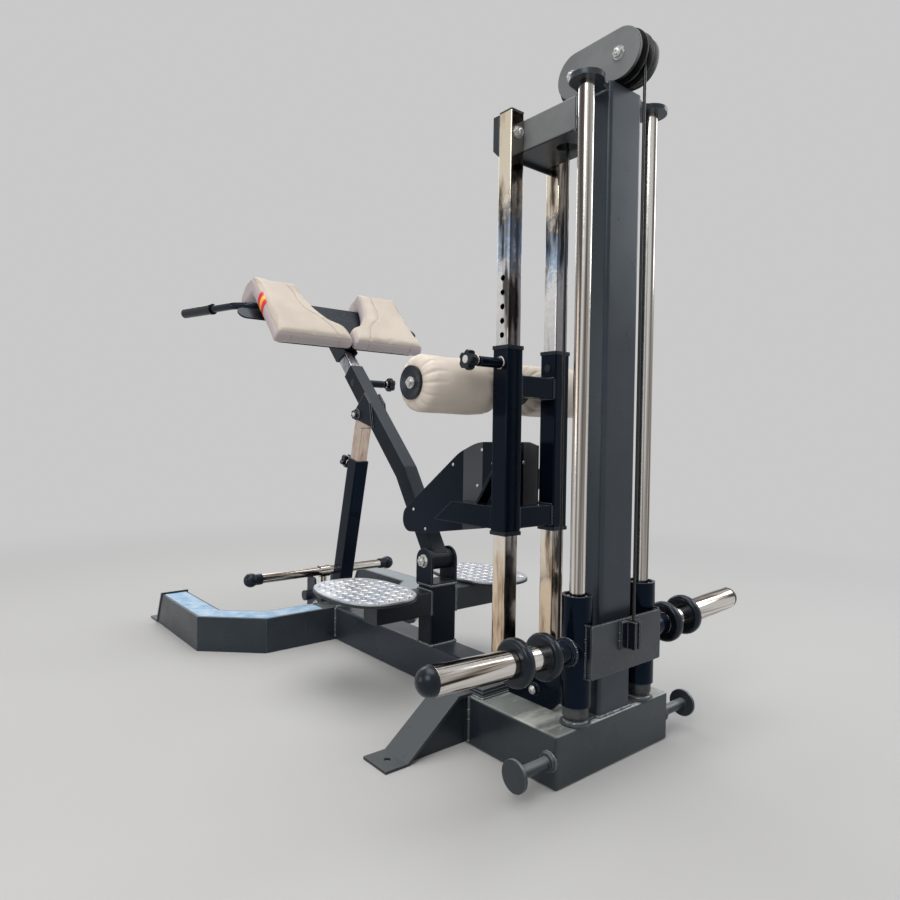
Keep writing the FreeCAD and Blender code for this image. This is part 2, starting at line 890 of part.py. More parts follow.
def pulley(y, z, gap):
    # A grooved wheel with its hub filling the gap between its bracket's plates
    hub = gap / 2 - play
    rim = pulley_width / 2
    web = pulley_web / 2
    wall = cable_radius + groove_clear
    bore = axle_radius + running
    half_profile = [(hub, bore), (hub, pulley_hub_radius), (web, pulley_hub_radius),
                    (web, pulley_rim_inner), (rim, pulley_rim_inner), (rim, pulley_radius),
                    (groove_mouth, pulley_radius), (wall, cable_turn + groove_clear),
                    (wall, cable_turn - groove_clear), (cable_radius / 2, cable_turn - wall)]
    other_half = [(-x, r) for x, r in reversed(half_profile)]
    return [moved(turned(half_profile + other_half), 0, y, z)]


def cable_route():
    # The pulled tight run over the top pulleys, down to the base and forward to the front pulley
    rear = top_rear_axle - cable_turn
    top = top_axle_z + cable_turn
    return [Vector(0, rear, top_axle_z), Vector(0, rear, top), Vector(0, beam_drop_y, top),
            Vector(0, beam_drop_y, cable_height), Vector(0, riser_y, cable_height),
            Vector(0, riser_y, lower_axle_z)]


def cable_run():
    # The end corners' arcs start at the ends of the route, where the pulleys let the cable go
    points = cable_route()
    rear, front = points[0], points[-1]
    radii = [cable_turn] * 4
    print("cable arc radii", radii)
    corners = points[1:-1]
    edges = path_edges([rear + Vector(0, 0, -cable_turn)] + corners + [front + Vector(0, 0, cable_turn)],
                       [0] + radii + [0])
    inside = edges[1:-1]
    return [tube_along(inside, cable_radius, rear, Vector(0, 0, 1))]


def rear_cable():
    # From the weight carriage's clamp up to the rear top pulley
    low = carriage_bottom + carriage_plate_low + clamp_low
    return [round_bar("Z", (low, top_axle_z), 0, top_rear_axle - cable_turn, cable_radius)]


def riser_cable():
    top = bar_z - bar_radius - swivel_wall - swivel_length
    return [round_bar("Z", (lower_axle_z, top), 0, riser_y, cable_radius)]


def lower_pulley_guard():
    # Two outer plates with a tie bolt, and the two plates that hold the pulley's axle
    outer = guard_outer / 2
    front = base_bar_rear - guard_front_gap
    top = base_height + guard_height
    sheet = plate("X", (outer - guard_plate, outer),
                  [(guard_rear, base_height + guard_corner), (guard_rear + guard_corner, base_height),
                   (front, base_height), (front, top), (guard_rear, top)],
                  [guard_round, guard_round, 0, guard_round, guard_round])
    tie_half = outer - guard_plate
    tie = round_bar("X", (-tie_half, tie_half), guard_tie_y, base_height + guard_tie_rise, guard_tie_radius)
    heads = [fused(bolt_head(side * outer, side, guard_tie_y, base_height + guard_tie_rise, guard_tie_radius))
             for side in (-1, 1)]
    half = pulley_gap / 2
    holder = plate("X", (half, half + pulley_plate),
                   [(lower_axle_y - lower_bracket_depth / 2, lower_axle_z - lower_bracket_low),
                    (lower_axle_y + lower_bracket_depth / 2, lower_axle_z - lower_bracket_low),
                    (lower_axle_y + lower_bracket_depth / 2, lower_axle_z + lower_bracket_high),
                    (lower_axle_y - lower_bracket_depth / 2, lower_axle_z + lower_bracket_high)],
                   [lower_bracket_round, lower_bracket_round, lower_bracket_round, lower_bracket_round])
    holder = holder.cut(round_bar("X", grown((half, half + pulley_plate), overrun), lower_axle_y,
                                  lower_axle_z, axle_radius))
    return pair(sheet) + [tie] + heads + pair(holder)


def front_bracket():
    # Side plates on the hoop's front face, each rising to a post that the pull bar rests on
    half = front_gap / 2
    xs = (half, half + front_plate)
    post_rear = riser_y - front_post_depth / 2
    post_front = riser_y + front_post_depth / 2
    top = bar_z - bar_radius - play
    profile = [(hoop_front, front_plate_low), (post_front - front_post_round, front_plate_low),
               (post_front, front_plate_low + front_post_round), (post_front, top), (post_rear, top),
               (post_rear, front_plate_top), (hoop_front, front_plate_top)]
    cheek = plate("X", xs, profile, [0, front_post_round, front_post_round, front_post_round,
                                     front_post_round, front_post_round, 0])
    cheek = cheek.cut(round_bar("X", grown(xs, overrun), front_axle_y, lower_axle_z, axle_radius))
    stop_y = post_front - front_spacer_radius
    stop = round_bar("X", (xs[1], xs[1] + front_spacer_reach), stop_y, top - front_spacer_drop,
                     front_spacer_radius)
    return pair(fused([cheek, stop]))


def carriage_sleeves():
    top = carriage_bottom + sleeve_height
    zs = (carriage_bottom, top)
    sleeve = round_bar("Z", zs, rod_half_spacing, rod_setback, sleeve_radius)
    sleeve = sleeve.cut(round_bar("Z", grown(zs, overrun), rod_half_spacing, rod_setback,
                                  sleeve_radius - sleeve_wall))
    root = tilted_bar(rod_half_spacing, horn_root, horn_root_radius)
    flange = tilted_bar(rod_half_spacing, rod_half_spacing + sleeve_radius + horn_flange,
                        horn_flange_radius)
    outside = round_bar("Z", grown(zs, overrun), rod_half_spacing, rod_setback, sleeve_radius)
    return pair(fused([sleeve, fused([root, flange]).cut(outside)]))


def tilted_bar(start, end, radius):
    # A round bar on the weight horn's axis, between two distances from the centre plane
    lift = math.radians(horn_tilt)
    height = carriage_bottom + horn_height
    base = Vector(start, rod_setback, height + (start - rod_half_spacing) * math.tan(lift))
    direction = Vector(math.cos(lift), 0, math.sin(lift))
    return Part.makeCylinder(radius, (end - start) / math.cos(lift), base, direction)


def sleeve_bushes():
    bushes = []
    ends = (carriage_bottom + bush_inset, carriage_bottom + sleeve_height - bush_inset - bush_length)
    for low in ends:
        zs = (low, low + bush_length)
        ring = round_bar("Z", zs, rod_half_spacing, rod_setback, sleeve_radius - sleeve_wall)
        bushes.append(ring.cut(round_bar("Z", grown(zs, overrun), rod_half_spacing, rod_setback,
                                         rod_radius + running)))
    return [solid for bush in bushes for solid in pair(bush)]


def carriage_plate_and_clamp():
    # The rear plate with its two side flanges, and two angles that grip the cable
    front = rod_setback - sleeve_radius - carriage_plate_gap
    rear = front - carriage_plate
    zs = (carriage_bottom + carriage_plate_low, carriage_bottom + carriage_plate_low + carriage_plate_height)
    board = bar("Y", (-carriage_plate_half, carriage_plate_half), (rear, front), zs, carriage_plate_round)
    flange = block((carriage_plate_half - carriage_plate, carriage_plate_half), (front, rod_setback), zs)
    flange = flange.cut(round_bar("Z", grown(zs, overrun), rod_half_spacing, rod_setback, sleeve_radius))
    board = fused([board] + pair(flange))
    clamp_zs = (zs[0] + clamp_low, zs[0] + clamp_low + clamp_height)
    grip = cable_radius + play
    tail = top_rear_axle - cable_turn - cable_radius - clamp_overhang
    leg = block((grip, grip + clamp_leg), (tail, rear), clamp_zs)
    foot = block((grip, grip + clamp_flange), (rear - clamp_leg, rear), clamp_zs)
    return [board] + pair(fused([leg, foot]))


def weight_horns():
    # The bar that plates slide onto; it is a touch slimmer where the rings sit
    shoulder = horn_ring_outer + horn_ring / 2 + horn_neck
    neck = tilted_bar(horn_root, shoulder, horn_radius - horn_neck)
    return pair(fused([neck, tilted_bar(shoulder, horn_end, horn_radius)]))


def horn_rubbers():
    # Two rings and a domed cap on each horn; the cap is slim enough for the plates to pass
    rubbers = []
    for middle in (horn_ring_inner, horn_ring_outer):
        start, end = around(middle, horn_ring)
        ring = tilted_bar(start, end, horn_ring_radius)
        rims = [edge for edge in ring.Edges if edge.Curve.TypeId == "Part::GeomCircle"]
        ring = ring.makeFillet(horn_ring_round, rims)
        bore = tilted_bar(start - overrun, end + overrun, horn_radius - horn_neck)
        rubbers.append(ring.cut(bore))
    wide = horn_radius - play
    cap = turned([(0, 0), (0, wide), (horn_cap_reach, wide), (horn_cap_reach, 0)], [0, 0, wide - play, 0])
    cap.rotate(Vector(0, 0, 0), Vector(0, 1, 0), -horn_tilt)
    start = horn_end - rod_half_spacing
    lift = math.radians(horn_tilt)
    cap = moved(cap, horn_end, rod_setback, carriage_bottom + horn_height + start * math.tan(lift))
    rubbers.append(cap)
    return [solid for rubber in rubbers for solid in pair(rubber)]


def slider_spans():
    return around(upright_x, slider_side), around(upright_y, slider_side)


def roller_sleeves():
    # Square sleeves on the uprights; the left one is bored for the selector pin
    xs, ys = slider_spans()
    zs = (slider_bottom, slider_bottom + slider_height)
    right = hollow_bar("Z", xs, ys, zs, slider_wall, slider_round)
    outer = upright_x + slider_side / 2
    barrel_span = (outer, outer + pin_barrel_length)
    left = mirrored(right)
    barrel = round_bar("X", (-barrel_span[1], -barrel_span[0]), upright_y, pin_z, pin_barrel_radius)
    left = fused([left, barrel])
    bore = round_bar("X", (-barrel_span[1] - overrun, -upright_x), upright_y, pin_z, pin_radius + running)
    return [right, left.cut(bore)]


def sleeve_collars():
    # Plastic collars with a skirt between sleeve and upright, and the plug in the right sleeve
    pieces = []
    low_zs = (slider_bottom - collar, slider_bottom)
    high_zs = (slider_bottom + slider_height, slider_bottom + slider_height + collar)
    bore = upright_side + 2 * play
    skirt = slider_side - 2 * slider_wall
    for zs, skirt_zs in ((low_zs, (low_zs[1], low_zs[1] + collar_skirt)),
                         (high_zs, (high_zs[0] - collar_skirt, high_zs[0]))):
        rim = bar("Z", around(upright_x, collar_side), around(upright_y, collar_side), zs, collar_round)
        sleeve = block(around(upright_x, skirt), around(upright_y, skirt), skirt_zs)
        hole = block(around(upright_x, bore), around(upright_y, bore),
                     (low_zs[0] - overrun, high_zs[1] + overrun))
        pieces.extend(pair(fused([rim, sleeve]).cut(hole)))
    inner = upright_x - slider_side / 2
    pieces.append(round_bar("X", (inner - plug, inner), upright_y, pin_z, plug_radius))
    return pieces


def roller_crossbars():
    # Two tubes between the sleeves, the arms that carry the guard plates, and their braces
    inner = upright_x - slider_side / 2
    outer = upright_x + slider_side / 2
    front = upright_y + slider_side / 2
    tubes = []
    for rise in (upper_crossbar_rise, lower_crossbar_rise):
        tubes.append(hollow_bar("X", (-inner, inner), around(upright_y, crossbar_depth),
                                (slider_bottom + rise, slider_bottom + rise + crossbar_height),
                                crossbar_wall, crossbar_wall))
    zs = (slider_bottom + guard_arm_rise, slider_bottom + guard_arm_rise + guard_arm_height)
    end = front + guard_arm_length
    arm = block((inner, outer), (front, end), zs)
    arm = arm.cut(block((inner + guard_arm_wall, outer - guard_arm_wall), (front - overrun, end + overrun),
                        grown(zs, -guard_arm_wall)))
    nose = plate("X", (inner - overrun, outer + overrun),
                 [(end - guard_arm_mitre, zs[1]), (end, zs[0]), (end + overrun, zs[0] - overrun),
                  (end + overrun, zs[1] + overrun), (end - guard_arm_mitre, zs[1] + overrun)])
    arm = arm.cut(nose)
    slope = math.atan2(brace_rise, brace_run)
    thick = brace_thickness / math.sin(slope)
    brace = plate("X", around(upright_x, brace_width),
                  [(front, zs[1] + brace_rise), (front + brace_run, zs[1]),
                   (front + brace_run + thick, zs[1]),
                   (front, zs[1] + brace_rise + thick * math.tan(slope))])
    lid = plate("X", (inner, outer),
                [(end - guard_arm_mitre, zs[1]), (end, zs[0]), (end - guard_arm_wall, zs[0]),
                 (end - guard_arm_mitre - guard_arm_wall, zs[1])])
    arm = fused([arm, lid, brace])
    return tubes + pair(arm)


def side_plate_place(share):
    front = upright_y + slider_side / 2
    low = slider_bottom - side_plate_drop
    return (front + share[0] * side_plate_length, low + share[1] * side_plate_height)


def guard_plates():
    # The tall side plates between which the pad arm swings
    outer = upright_x - slider_side / 2
    xs = (outer - side_plate, outer)
    points = [side_plate_place(share) for share in side_plate_shares]
    radii = [0, side_plate_back_round, side_plate_round, side_plate_round, side_plate_end_round,
             side_plate_end_round, side_plate_round, 0]
    sheet = plate("X", xs, points, radii)
    return pair(sheet)


def roller_place():
    y = upright_y + crossbar_depth / 2 + roller_reach
    z = slider_bottom + upper_crossbar_rise + crossbar_height / 2
    return y, z


def roller_axle():
    # The axle with a bolt at each end, on two bracket plates from the upper crossbar
    y, z = roller_place()
    front = upright_y + crossbar_depth / 2
    end = roller_outer + roller_cap
    shaft = round_bar("X", (-end, end), y, z, roller_axle_radius)
    heads = [solid for side in (-1, 1) for solid in bolt_head(side * end, side, y, z, roller_bolt_radius)]
    shaft = fused([shaft] + heads)
    xs = (roller_bracket_half - roller_bracket_plate, roller_bracket_half)
    nose = round_bar("X", xs, y, z, roller_bracket_radius)
    tail = block(xs, (front, y), around(z, 2 * roller_bracket_radius))
    ear = fused([nose, tail]).cut(round_bar("X", grown(xs, overrun), y, z, roller_axle_radius))
    return [shaft] + pair(ear)


def leg_roller(side):
    # A padded roller with rounded ends, dished where its caps sit
    y, z = roller_place()
    bore = roller_axle_radius + running
    profile = [(roller_inner, bore), (roller_inner, roller_radius), (roller_outer, roller_radius),
               (roller_outer, bore)]
    body = turned(profile, [0, roller_end_round, roller_end_round, 0])
    body = moved(body, 0, y, z)
    return [body if side > 0 else mirrored(body)]


def roller_caps(side):
    y, z = roller_place()
    bore = roller_axle_radius + running
    caps = []
    for inner, outward in ((roller_outer, 1), (roller_inner, -1)):
        thick = roller_cap if outward > 0 else roller_dish
        rim = inner + outward * thick
        profile = [(inner, bore), (inner, roller_cap_radius), (rim, roller_cap_radius),
                   (rim, roller_cap_radius - roller_cap_round), (rim - outward * thick / 2, bore + thick),
                   (rim - outward * thick / 2, bore)]
        caps.append(moved(turned(profile), 0, y, z))
    return caps if side > 0 else [mirrored(cap) for cap in caps]


def star_knob():
    # A lobed knob along +X from its hub, with its face at the far end
    body = round_bar("X", (knob_hub, knob_length), 0, 0, knob_radius)
    rims = [edge for edge in body.Edges if edge.Curve.TypeId == "Part::GeomCircle"]
    body = body.makeFillet(knob_round, rims)
    for lobe in range(knob_lobes):
        turn = 2 * math.pi * lobe / knob_lobes
        reach = knob_radius + knob_scallop / 3
        body = body.cut(round_bar("X", (0, knob_length + overrun), reach * math.cos(turn),
                                  reach * math.sin(turn), knob_scallop))
    hub = round_bar("X", (0, knob_hub + overrun), 0, 0, pin_barrel_radius)
    return fused([body, hub])


def spring_pin(tip, barrel_end):
    # A pin along +X from its tip, through a barrel that ends at barrel_end, with its knob outside
    root = barrel_end + pin_travel_in + play
    shaft = round_bar("X", (tip, root + knob_hub), 0, 0, pin_radius)
    return fused([shaft, moved(star_knob(), root, 0, 0)])


def selector_pin():
    tip = upright_x + upright_side / 2 + pin_short
    barrel_end = upright_x + slider_side / 2 + pin_barrel_length
    return [moved(mirrored(spring_pin(tip, barrel_end)), 0, upright_y, pin_z)]


def pivot_post():
    # A tube on the main beam with a capped top, and the U bracket that the pad arm turns in
    ys = around(post_y, post_depth)
    zs = (base_height, post_top)
    tube = hollow_bar("Z", around(0, beam_width), ys, zs, post_wall, post_round)
    cap = block(around(0, beam_width - 2 * post_wall), grown(ys, -post_wall),
                (post_top - post_wall, post_top))
    ear_xs = (clevis_half - clevis_plate, clevis_half)
    ear_ys = around(pivot_y, 2 * clevis_radius)
    ear = fused([block(ear_xs, ear_ys, (post_top, pivot_z)), round_bar("X", ear_xs, pivot_y, pivot_z,
                                                                       clevis_radius)])
    ear = ear.cut(round_bar("X", grown(ear_xs, overrun), pivot_y, pivot_z, pivot_radius))
    floor_plate = block((-clevis_half, clevis_half), ear_ys, (post_top, post_top + clevis_plate))
    return [fused([tube, cap]), fused(pair(ear) + [floor_plate])]


def foot_crossbar():
    # A tube on each side of the post
    zs = (post_top - foot_bar_drop - foot_bar_height, post_top - foot_bar_drop)
    xs = (beam_width / 2, foot_bar_half)
    tube = hollow_bar("X", xs, around(post_y, post_depth), zs, foot_bar_wall, foot_bar_wall)
    lid = block((foot_bar_half - foot_bar_wall, foot_bar_half),
                grown(around(post_y, post_depth), -foot_bar_wall), grown(zs, -foot_bar_wall))
    return pair(fused([tube, lid]))


def foot_disc(half_x, half_y, zs):
    # A rounded oblong from the superellipse formula
    centre_y = post_y + foot_forward
    points = []
    for step in range(foot_points):
        turn = 2 * math.pi * step / foot_points
        across = math.copysign(abs(math.cos(turn)) ** (2 / foot_power), math.cos(turn))
        along = math.copysign(abs(math.sin(turn)) ** (2 / foot_power), math.sin(turn))
        points.append(Vector(foot_centre_x + half_x * across, centre_y + half_y * along, zs[0]))
    curve = Part.BSplineCurve()
    curve.interpolate(points, PeriodicFlag=True)
    return Part.Face(Part.Wire(curve.toShape())).extrude(Vector(0, 0, zs[1] - zs[0]))


def foot_plates():
    low = post_top - foot_bar_drop
    return pair(foot_disc(foot_half_x, foot_half_y, (low, low + foot_rim)))


def foot_treads():
    low = post_top - foot_bar_drop + foot_rim
    return pair(foot_disc(foot_half_x - foot_tread_inset, foot_half_y - foot_tread_inset,
                          (low, low + foot_tread)))


def strut_foot():
    return beam_front + strut_foot_y, base_height + strut_foot_rise


def strut_foot_clevis():
    y, z = strut_foot()
    xs = (strut_width / 2 + play, strut_width / 2 + play + strut_foot_plate)
    ear = fused([block(xs, around(y, 2 * strut_foot_radius), (base_height, z)),
                 round_bar("X", xs, y, z, strut_foot_radius)])
    return pair(ear.cut(round_bar("X", grown(xs, overrun), y, z, pivot_radius)))


def pivot_bolts():
    y, z = strut_foot()
    return [cross_bolt(clevis_half, pivot_y, pivot_z, pivot_radius),
            cross_bolt(strut_width / 2 + play + strut_foot_plate, y, z, pivot_radius)]


def bend_place():
    turn = math.radians(arm_low_angle)
    return pivot_y + arm_low_length * math.cos(turn), pivot_z + arm_low_length * math.sin(turn)


def on_arm(shape):
    # From the upper arm's own lines, with Y along it from the bend, to its place
    y, z = bend_place()
    return sloped(shape, y, z, arm_angle)


def arm_point(along, above):
    y, z = bend_place()
    turn = math.radians(arm_angle)
    forward = along * math.cos(turn) - above * math.sin(turn)
    upward = along * math.sin(turn) + above * math.cos(turn)
    return y + forward, z + upward


def arm_tube():
    # A bent square tube with a mitred joint, coped onto the pivot barrel, with the strut's saddle
    def side_points(half):
        low = math.radians(arm_low_angle)
        kink = math.radians(arm_low_angle - arm_angle) / 2
        mitre = half * math.tan(kink)
        bottoms = []
        for side in (1, -1):
            bottoms.append((pivot_y - side * half * math.sin(low), pivot_z + side * half * math.cos(low)))
        top_front = arm_point(arm_length, -half)
        top_rear = arm_point(arm_length, half)
        return [bottoms[0], bottoms[1], arm_point(mitre, -half), top_front, top_rear, arm_point(-mitre, half)]

    xs = around(0, arm_width)
    outer = plate("X", xs, side_points(arm_depth / 2))
    outer = rounded_sides(outer, xs, arm_round)
    inner = plate("X", grown(xs, -arm_wall), side_points(arm_depth / 2 - arm_wall))
    inner = inner.fuse(on_arm(block(grown(xs, -arm_wall), (arm_length / 2, arm_length + overrun),
                                    grown(around(0, arm_depth), -arm_wall))))
    tube = outer.cut(inner)
    tube = tube.cut(round_bar("X", grown(xs, overrun), pivot_y, pivot_z, barrel_radius))
    barrel_xs = (arm_width / 2, arm_width / 2 + arm_pin_barrel)
    barrel = on_arm(round_bar("X", barrel_xs, arm_pin_place, 0, pin_barrel_radius))
    bore = on_arm(round_bar("X", (0, barrel_xs[1] + overrun), arm_pin_place, 0, pin_radius + running))
    return [fused([tube, barrel]).cut(bore)]


def rounded_sides(shape, xs, radius):
    # Rounds the long edges of the two flat sides, but not those across the tube's ends
    edges = []
    for edge in shape.Edges:
        first, last = edge.Vertexes[0].Point, edge.Vertexes[-1].Point
        if abs(first.x - last.x) < joined and (last - first).Length > 2 * arm_depth:
            edges.append(edge)
    return shape.makeFillet(radius, edges)


def arm_saddle():
    # Two cheeks on the arm's sides, which carry the strut's top bolt
    xs = (arm_width / 2, arm_width / 2 + saddle_plate)
    top = arm_depth / 2 + saddle_proud
    cheek = plate("X", xs, [(saddle_front, top), (saddle_top_rear, top),
                            (saddle_rear, -arm_depth / 4),
                            (saddle_pin_along - saddle_nose, -saddle_pin_below - saddle_nose / 2),
                            (saddle_pin_along + saddle_nose, -saddle_pin_below)])
    cheek = fused([cheek, round_bar("X", xs, saddle_pin_along, -saddle_pin_below, saddle_nose)])
    cheek = cheek.cut(round_bar("X", grown(xs, overrun), saddle_pin_along, -saddle_pin_below, pivot_radius))
    bolt = cross_bolt(xs[1], saddle_pin_along, -saddle_pin_below, pivot_radius)
    return [on_arm(solid) for solid in pair(cheek) + [bolt]]


def arm_barrel():
    xs = grown((-clevis_half, clevis_half), -clevis_plate - play)
    barrel = round_bar("X", xs, pivot_y, pivot_z, barrel_radius)
    return [barrel.cut(round_bar("X", grown(xs, overrun), pivot_y, pivot_z, pivot_radius + running))]


def arm_pin():
    stem_half = arm_width / 2 - arm_wall - play
    pin = spring_pin(stem_half + pin_short, arm_width / 2 + arm_pin_barrel)
    return [on_arm(moved(pin, 0, arm_pin_place, 0))]


def pad_stem():
    # The chrome bar that slides in the arm, with a row of pin holes
    xs = grown(around(0, arm_width), -arm_wall - play)
    zs = grown(around(0, arm_depth), -arm_wall - play)
    ys = (arm_length - stem_in, arm_length + stem_out)
    stem = hollow_bar("Y", xs, ys, zs, arm_wall, arm_wall)
    for step in range(-stem_holes_in, stem_holes_out + 1):
        stem = stem.cut(round_bar("X", (0, arm_width), arm_pin_place - step * stem_hole_pitch, 0,
                                  upright_hole_radius))
    return [on_arm(stem)]


def pad_place(shape):
    # From the pads' own lines, with Y up the pads from their lower edge and Z off their face
    y, z = arm_point(arm_length + pad_start, pad_top)
    return sloped(shape, y, z, arm_angle)


def pad_outline(inset, height):
    # One pad seen square on, drawn in by the inset; its inner edge is a double curve
    throat_x = pad_split / 2
    curve = [(pad_notch, pad_length)]
    for across, up in pad_curve_shares:
        curve.append((across * pad_notch, pad_throat + up * (pad_length - pad_throat)))
    curve.append((throat_x, pad_throat))
    corners = [(throat_x, 0), (pad_half, 0), (pad_half, pad_length)] + curve
    low, out, top, notch, bend_a, middle, bend_b, throat = [
        Vector(x, y, height) for x, y in offset_corners(corners, inset)]
    return Part.Wire([
        Part.makeLine(low, out), Part.makeLine(out, top), Part.makeLine(top, notch),
        Part.Arc(notch, bend_a, middle).toShape(), Part.Arc(middle, bend_b, throat).toShape(),
        Part.makeLine(throat, low)])


def hip_pad(side):
    # A crowned slab whose sides pull in, with its upper end rolled down over the plate
    sections = []
    for height_share, inset_share in pad_section_shares:
        sections.append(pad_outline(inset_share * pad_swell, (height_share - 1) * pad_thickness))
    slab = Part.makeLoft(sections, True, True)
    reach = pad_length + pad_wrap_reach
    roll_profile = [(pad_length - pad_wrap_depth, -pad_thickness / 4),
                    (reach - pad_wrap_round / 2, -pad_swell), (reach, -pad_thickness),
                    (reach - pad_swell, -pad_wrap_low + pad_wrap_end_round),
                    (reach - pad_wrap_depth / 2, -pad_wrap_low),
                    (reach - pad_wrap_depth, -pad_wrap_low * 4 / 5)]
    rolls = []
    for x_share, inset_share in pad_roll_shares:
        x = pad_notch + x_share * (pad_half - pad_notch)
        corners = offset_corners(roll_profile, -inset_share * pad_swell)
        rolls.append(outline("X", x, corners,
                             [0, pad_wrap_end_round / 2, pad_swell, pad_swell, pad_swell, 0]))
    roll = Part.makeLoft(rolls, True, True)
    pad = pad_place(fused([slab, roll]))
    return [pad if side > 0 else mirrored(pad)]


def pad_backing():
    # The steel plate under both pads, the channel that holds the stem, and the ears at the sides
    top = -pad_thickness
    plate_zs = (top - pad_plate, top)
    half = pad_half - pad_plate_margin
    board = plate("Z", plate_zs, [(-half, pad_plate_margin), (half, pad_plate_margin),
                                  (half, pad_plate_length), (-half, pad_plate_length)], [pad_corner] * 4)
    stem_bottom = -pad_top - arm_depth / 2 + arm_wall + play
    low = stem_bottom - pad_channel_wall
    cheek = plate("X", (arm_width / 2 - arm_wall - play, pad_channel_half),
                  [(0, plate_zs[1]), (0, plate_zs[0]), (pad_channel_slant, low), (pad_channel_length, low),
                   (pad_channel_length, plate_zs[1])])
    sole = block((-pad_channel_half, pad_channel_half), (pad_channel_slant, pad_channel_length),
                 (low, stem_bottom))
    cross_zs = (plate_zs[0] - pad_bar, plate_zs[0])
    cross = block((-pad_bar_half, pad_bar_half), around(pad_bar_place, pad_bar_width), cross_zs)
    cross = rounded(cross, "Z", pad_bar_width / 2 - play)
    return [pad_place(fused([board] + pair(cheek) + [sole, cross]))]


def handle_route():
    # From under the pads out to the side, round an elbow and forward
    above = pad_top - pad_thickness - pad_plate - handle_radius
    y, z = arm_point(arm_length + pad_start + handle_along, above)
    inner = pad_channel_half + handle_radius
    return [Vector(inner, y, z), Vector(pad_half, y, z), Vector(handle_elbow_x, y + handle_elbow_forward, z),
            Vector(handle_end_x, y + handle_forward, z)]


def handles():
    points = handle_route()
    edges = path_edges(points, [0, handle_bend, handle_bend, 0])
    return pair(tube_along(edges, handle_radius, points[0], Vector(1, 0, 0)))


def handle_grips():
    # A rubber grip on the end of each handle
    elbow, end = handle_route()[-2:]
    heading = (end - elbow).normalize()
    start = end - heading * handle_grip_length
    grip = Part.makeCylinder(handle_grip_radius, handle_grip_length + handle_grip_round, start, heading)
    rims = [edge for edge in grip.Edges if edge.Curve.TypeId == "Part::GeomCircle"]
    grip = grip.makeFillet(handle_grip_round, rims)
    return pair(grip.cut(Part.makeCylinder(handle_radius, handle_grip_length, start, heading)))


def handle_rings():
    elbow, end = handle_route()[-2:]
    heading = (end - elbow).normalize()
    start = end - heading * (handle_grip_length + handle_ring)
    ring = Part.makeCylinder(handle_ring_radius, handle_ring, start, heading)
    return pair(ring.cut(Part.makeCylinder(handle_radius, handle_ring, start, heading)))


def strut_line():
    # The strut's length, from its foot bolt to the arm's saddle bolt, and its slope
    foot_y, foot_z = strut_foot()
    top_y, top_z = arm_point(saddle_pin_along, -saddle_pin_below)
    length = math.hypot(top_y - foot_y, top_z - foot_z)
    return length, math.degrees(math.atan2(top_z - foot_z, top_y - foot_y))


def on_strut(shape):
    y, z = strut_foot()
    return sloped(shape, y, z, strut_line()[1])


def strut_outer():
    # The lower tube, open at its top, with the foot bolt's hole and the pin's barrel at the front
    xs = around(0, strut_width)
    zs = around(0, strut_depth)
    tube = hollow_bar("Y", xs, (-strut_outer_below, strut_outer_length), zs, strut_wall, strut_round)
    tube = tube.cut(round_bar("X", grown(xs, overrun), 0, 0, pivot_radius + running))
    place = strut_outer_length - strut_pin_drop
    barrel = round_bar("Z", (-strut_depth / 2 - strut_pin_barrel, -strut_depth / 2), 0, place,
                       pin_barrel_radius)
    bore = round_bar("Z", (-strut_depth, 0), 0, place, pin_radius + running)
    return [on_strut(fused([tube, barrel]).cut(bore))]


def strut_inner():
    length = strut_line()[0]
    xs = grown(around(0, strut_width), -strut_wall - play)
    zs = grown(around(0, strut_depth), -strut_wall - play)
    ys = (strut_outer_length - strut_inner_in, length - strut_head_length)
    bar_tube = hollow_bar("Y", xs, ys, zs, strut_wall, strut_wall)
    lug = block(xs, (ys[1], length), around(0, 2 * strut_head_radius))
    head = fused([lug, round_bar("X", xs, length, 0, strut_head_radius)])
    hole = round_bar("X", grown(xs, overrun), length, 0, pivot_radius + open_pivot_clear)
    bar_tube = fused([bar_tube, head]).cut(hole)
    for step in range(-strut_holes // 2, strut_holes // 2 + 1):
        place = strut_outer_length - strut_pin_drop + step * strut_hole_pitch
        bar_tube = bar_tube.cut(round_bar("Z", (-strut_depth, 0), 0, place, upright_hole_radius))
    return [on_strut(bar_tube)]


def strut_pin():
    inner_face = strut_depth / 2 - strut_wall - play
    pin = spring_pin(inner_face + pin_short, strut_depth / 2 + strut_pin_barrel)
    pin.rotate(Vector(0, 0, 0), Vector(0, 1, 0), 90)
    return [on_strut(moved(pin, 0, strut_outer_length - strut_pin_drop, 0))]


def pull_bar():
    return [round_bar("X", (-bar_half, bar_half), riser_y, bar_z, bar_radius)]


def bar_balls():
    ball = Part.makeSphere(ball_radius, Vector(bar_half, riser_y, bar_z))
    inner = (bar_half - ball_radius - ball_neck, bar_half)
    neck = round_bar("X", (inner[0], bar_half - ball_radius / 2), riser_y, bar_z, bar_radius + ball_neck / 4)
    ball = fused([ball, neck]).cut(round_bar("X", (inner[0] - overrun, bar_half), riser_y, bar_z, bar_radius))
    return pair(ball)


def bar_swivel():
    # A collar round the bar's middle with a shank that takes the cable's end
    ring = round_bar("X", (-swivel_half, swivel_half), riser_y, bar_z, bar_radius + swivel_wall)
    ring = ring.cut(round_bar("X", grown((-swivel_half, swivel_half), overrun), riser_y, bar_z, bar_radius))
    low = bar_z - bar_radius - swivel_wall
    shank = round_bar("Z", (low - swivel_length, low + swivel_wall / 2), 0, riser_y, swivel_shank)
    return [fused([ring, shank])]


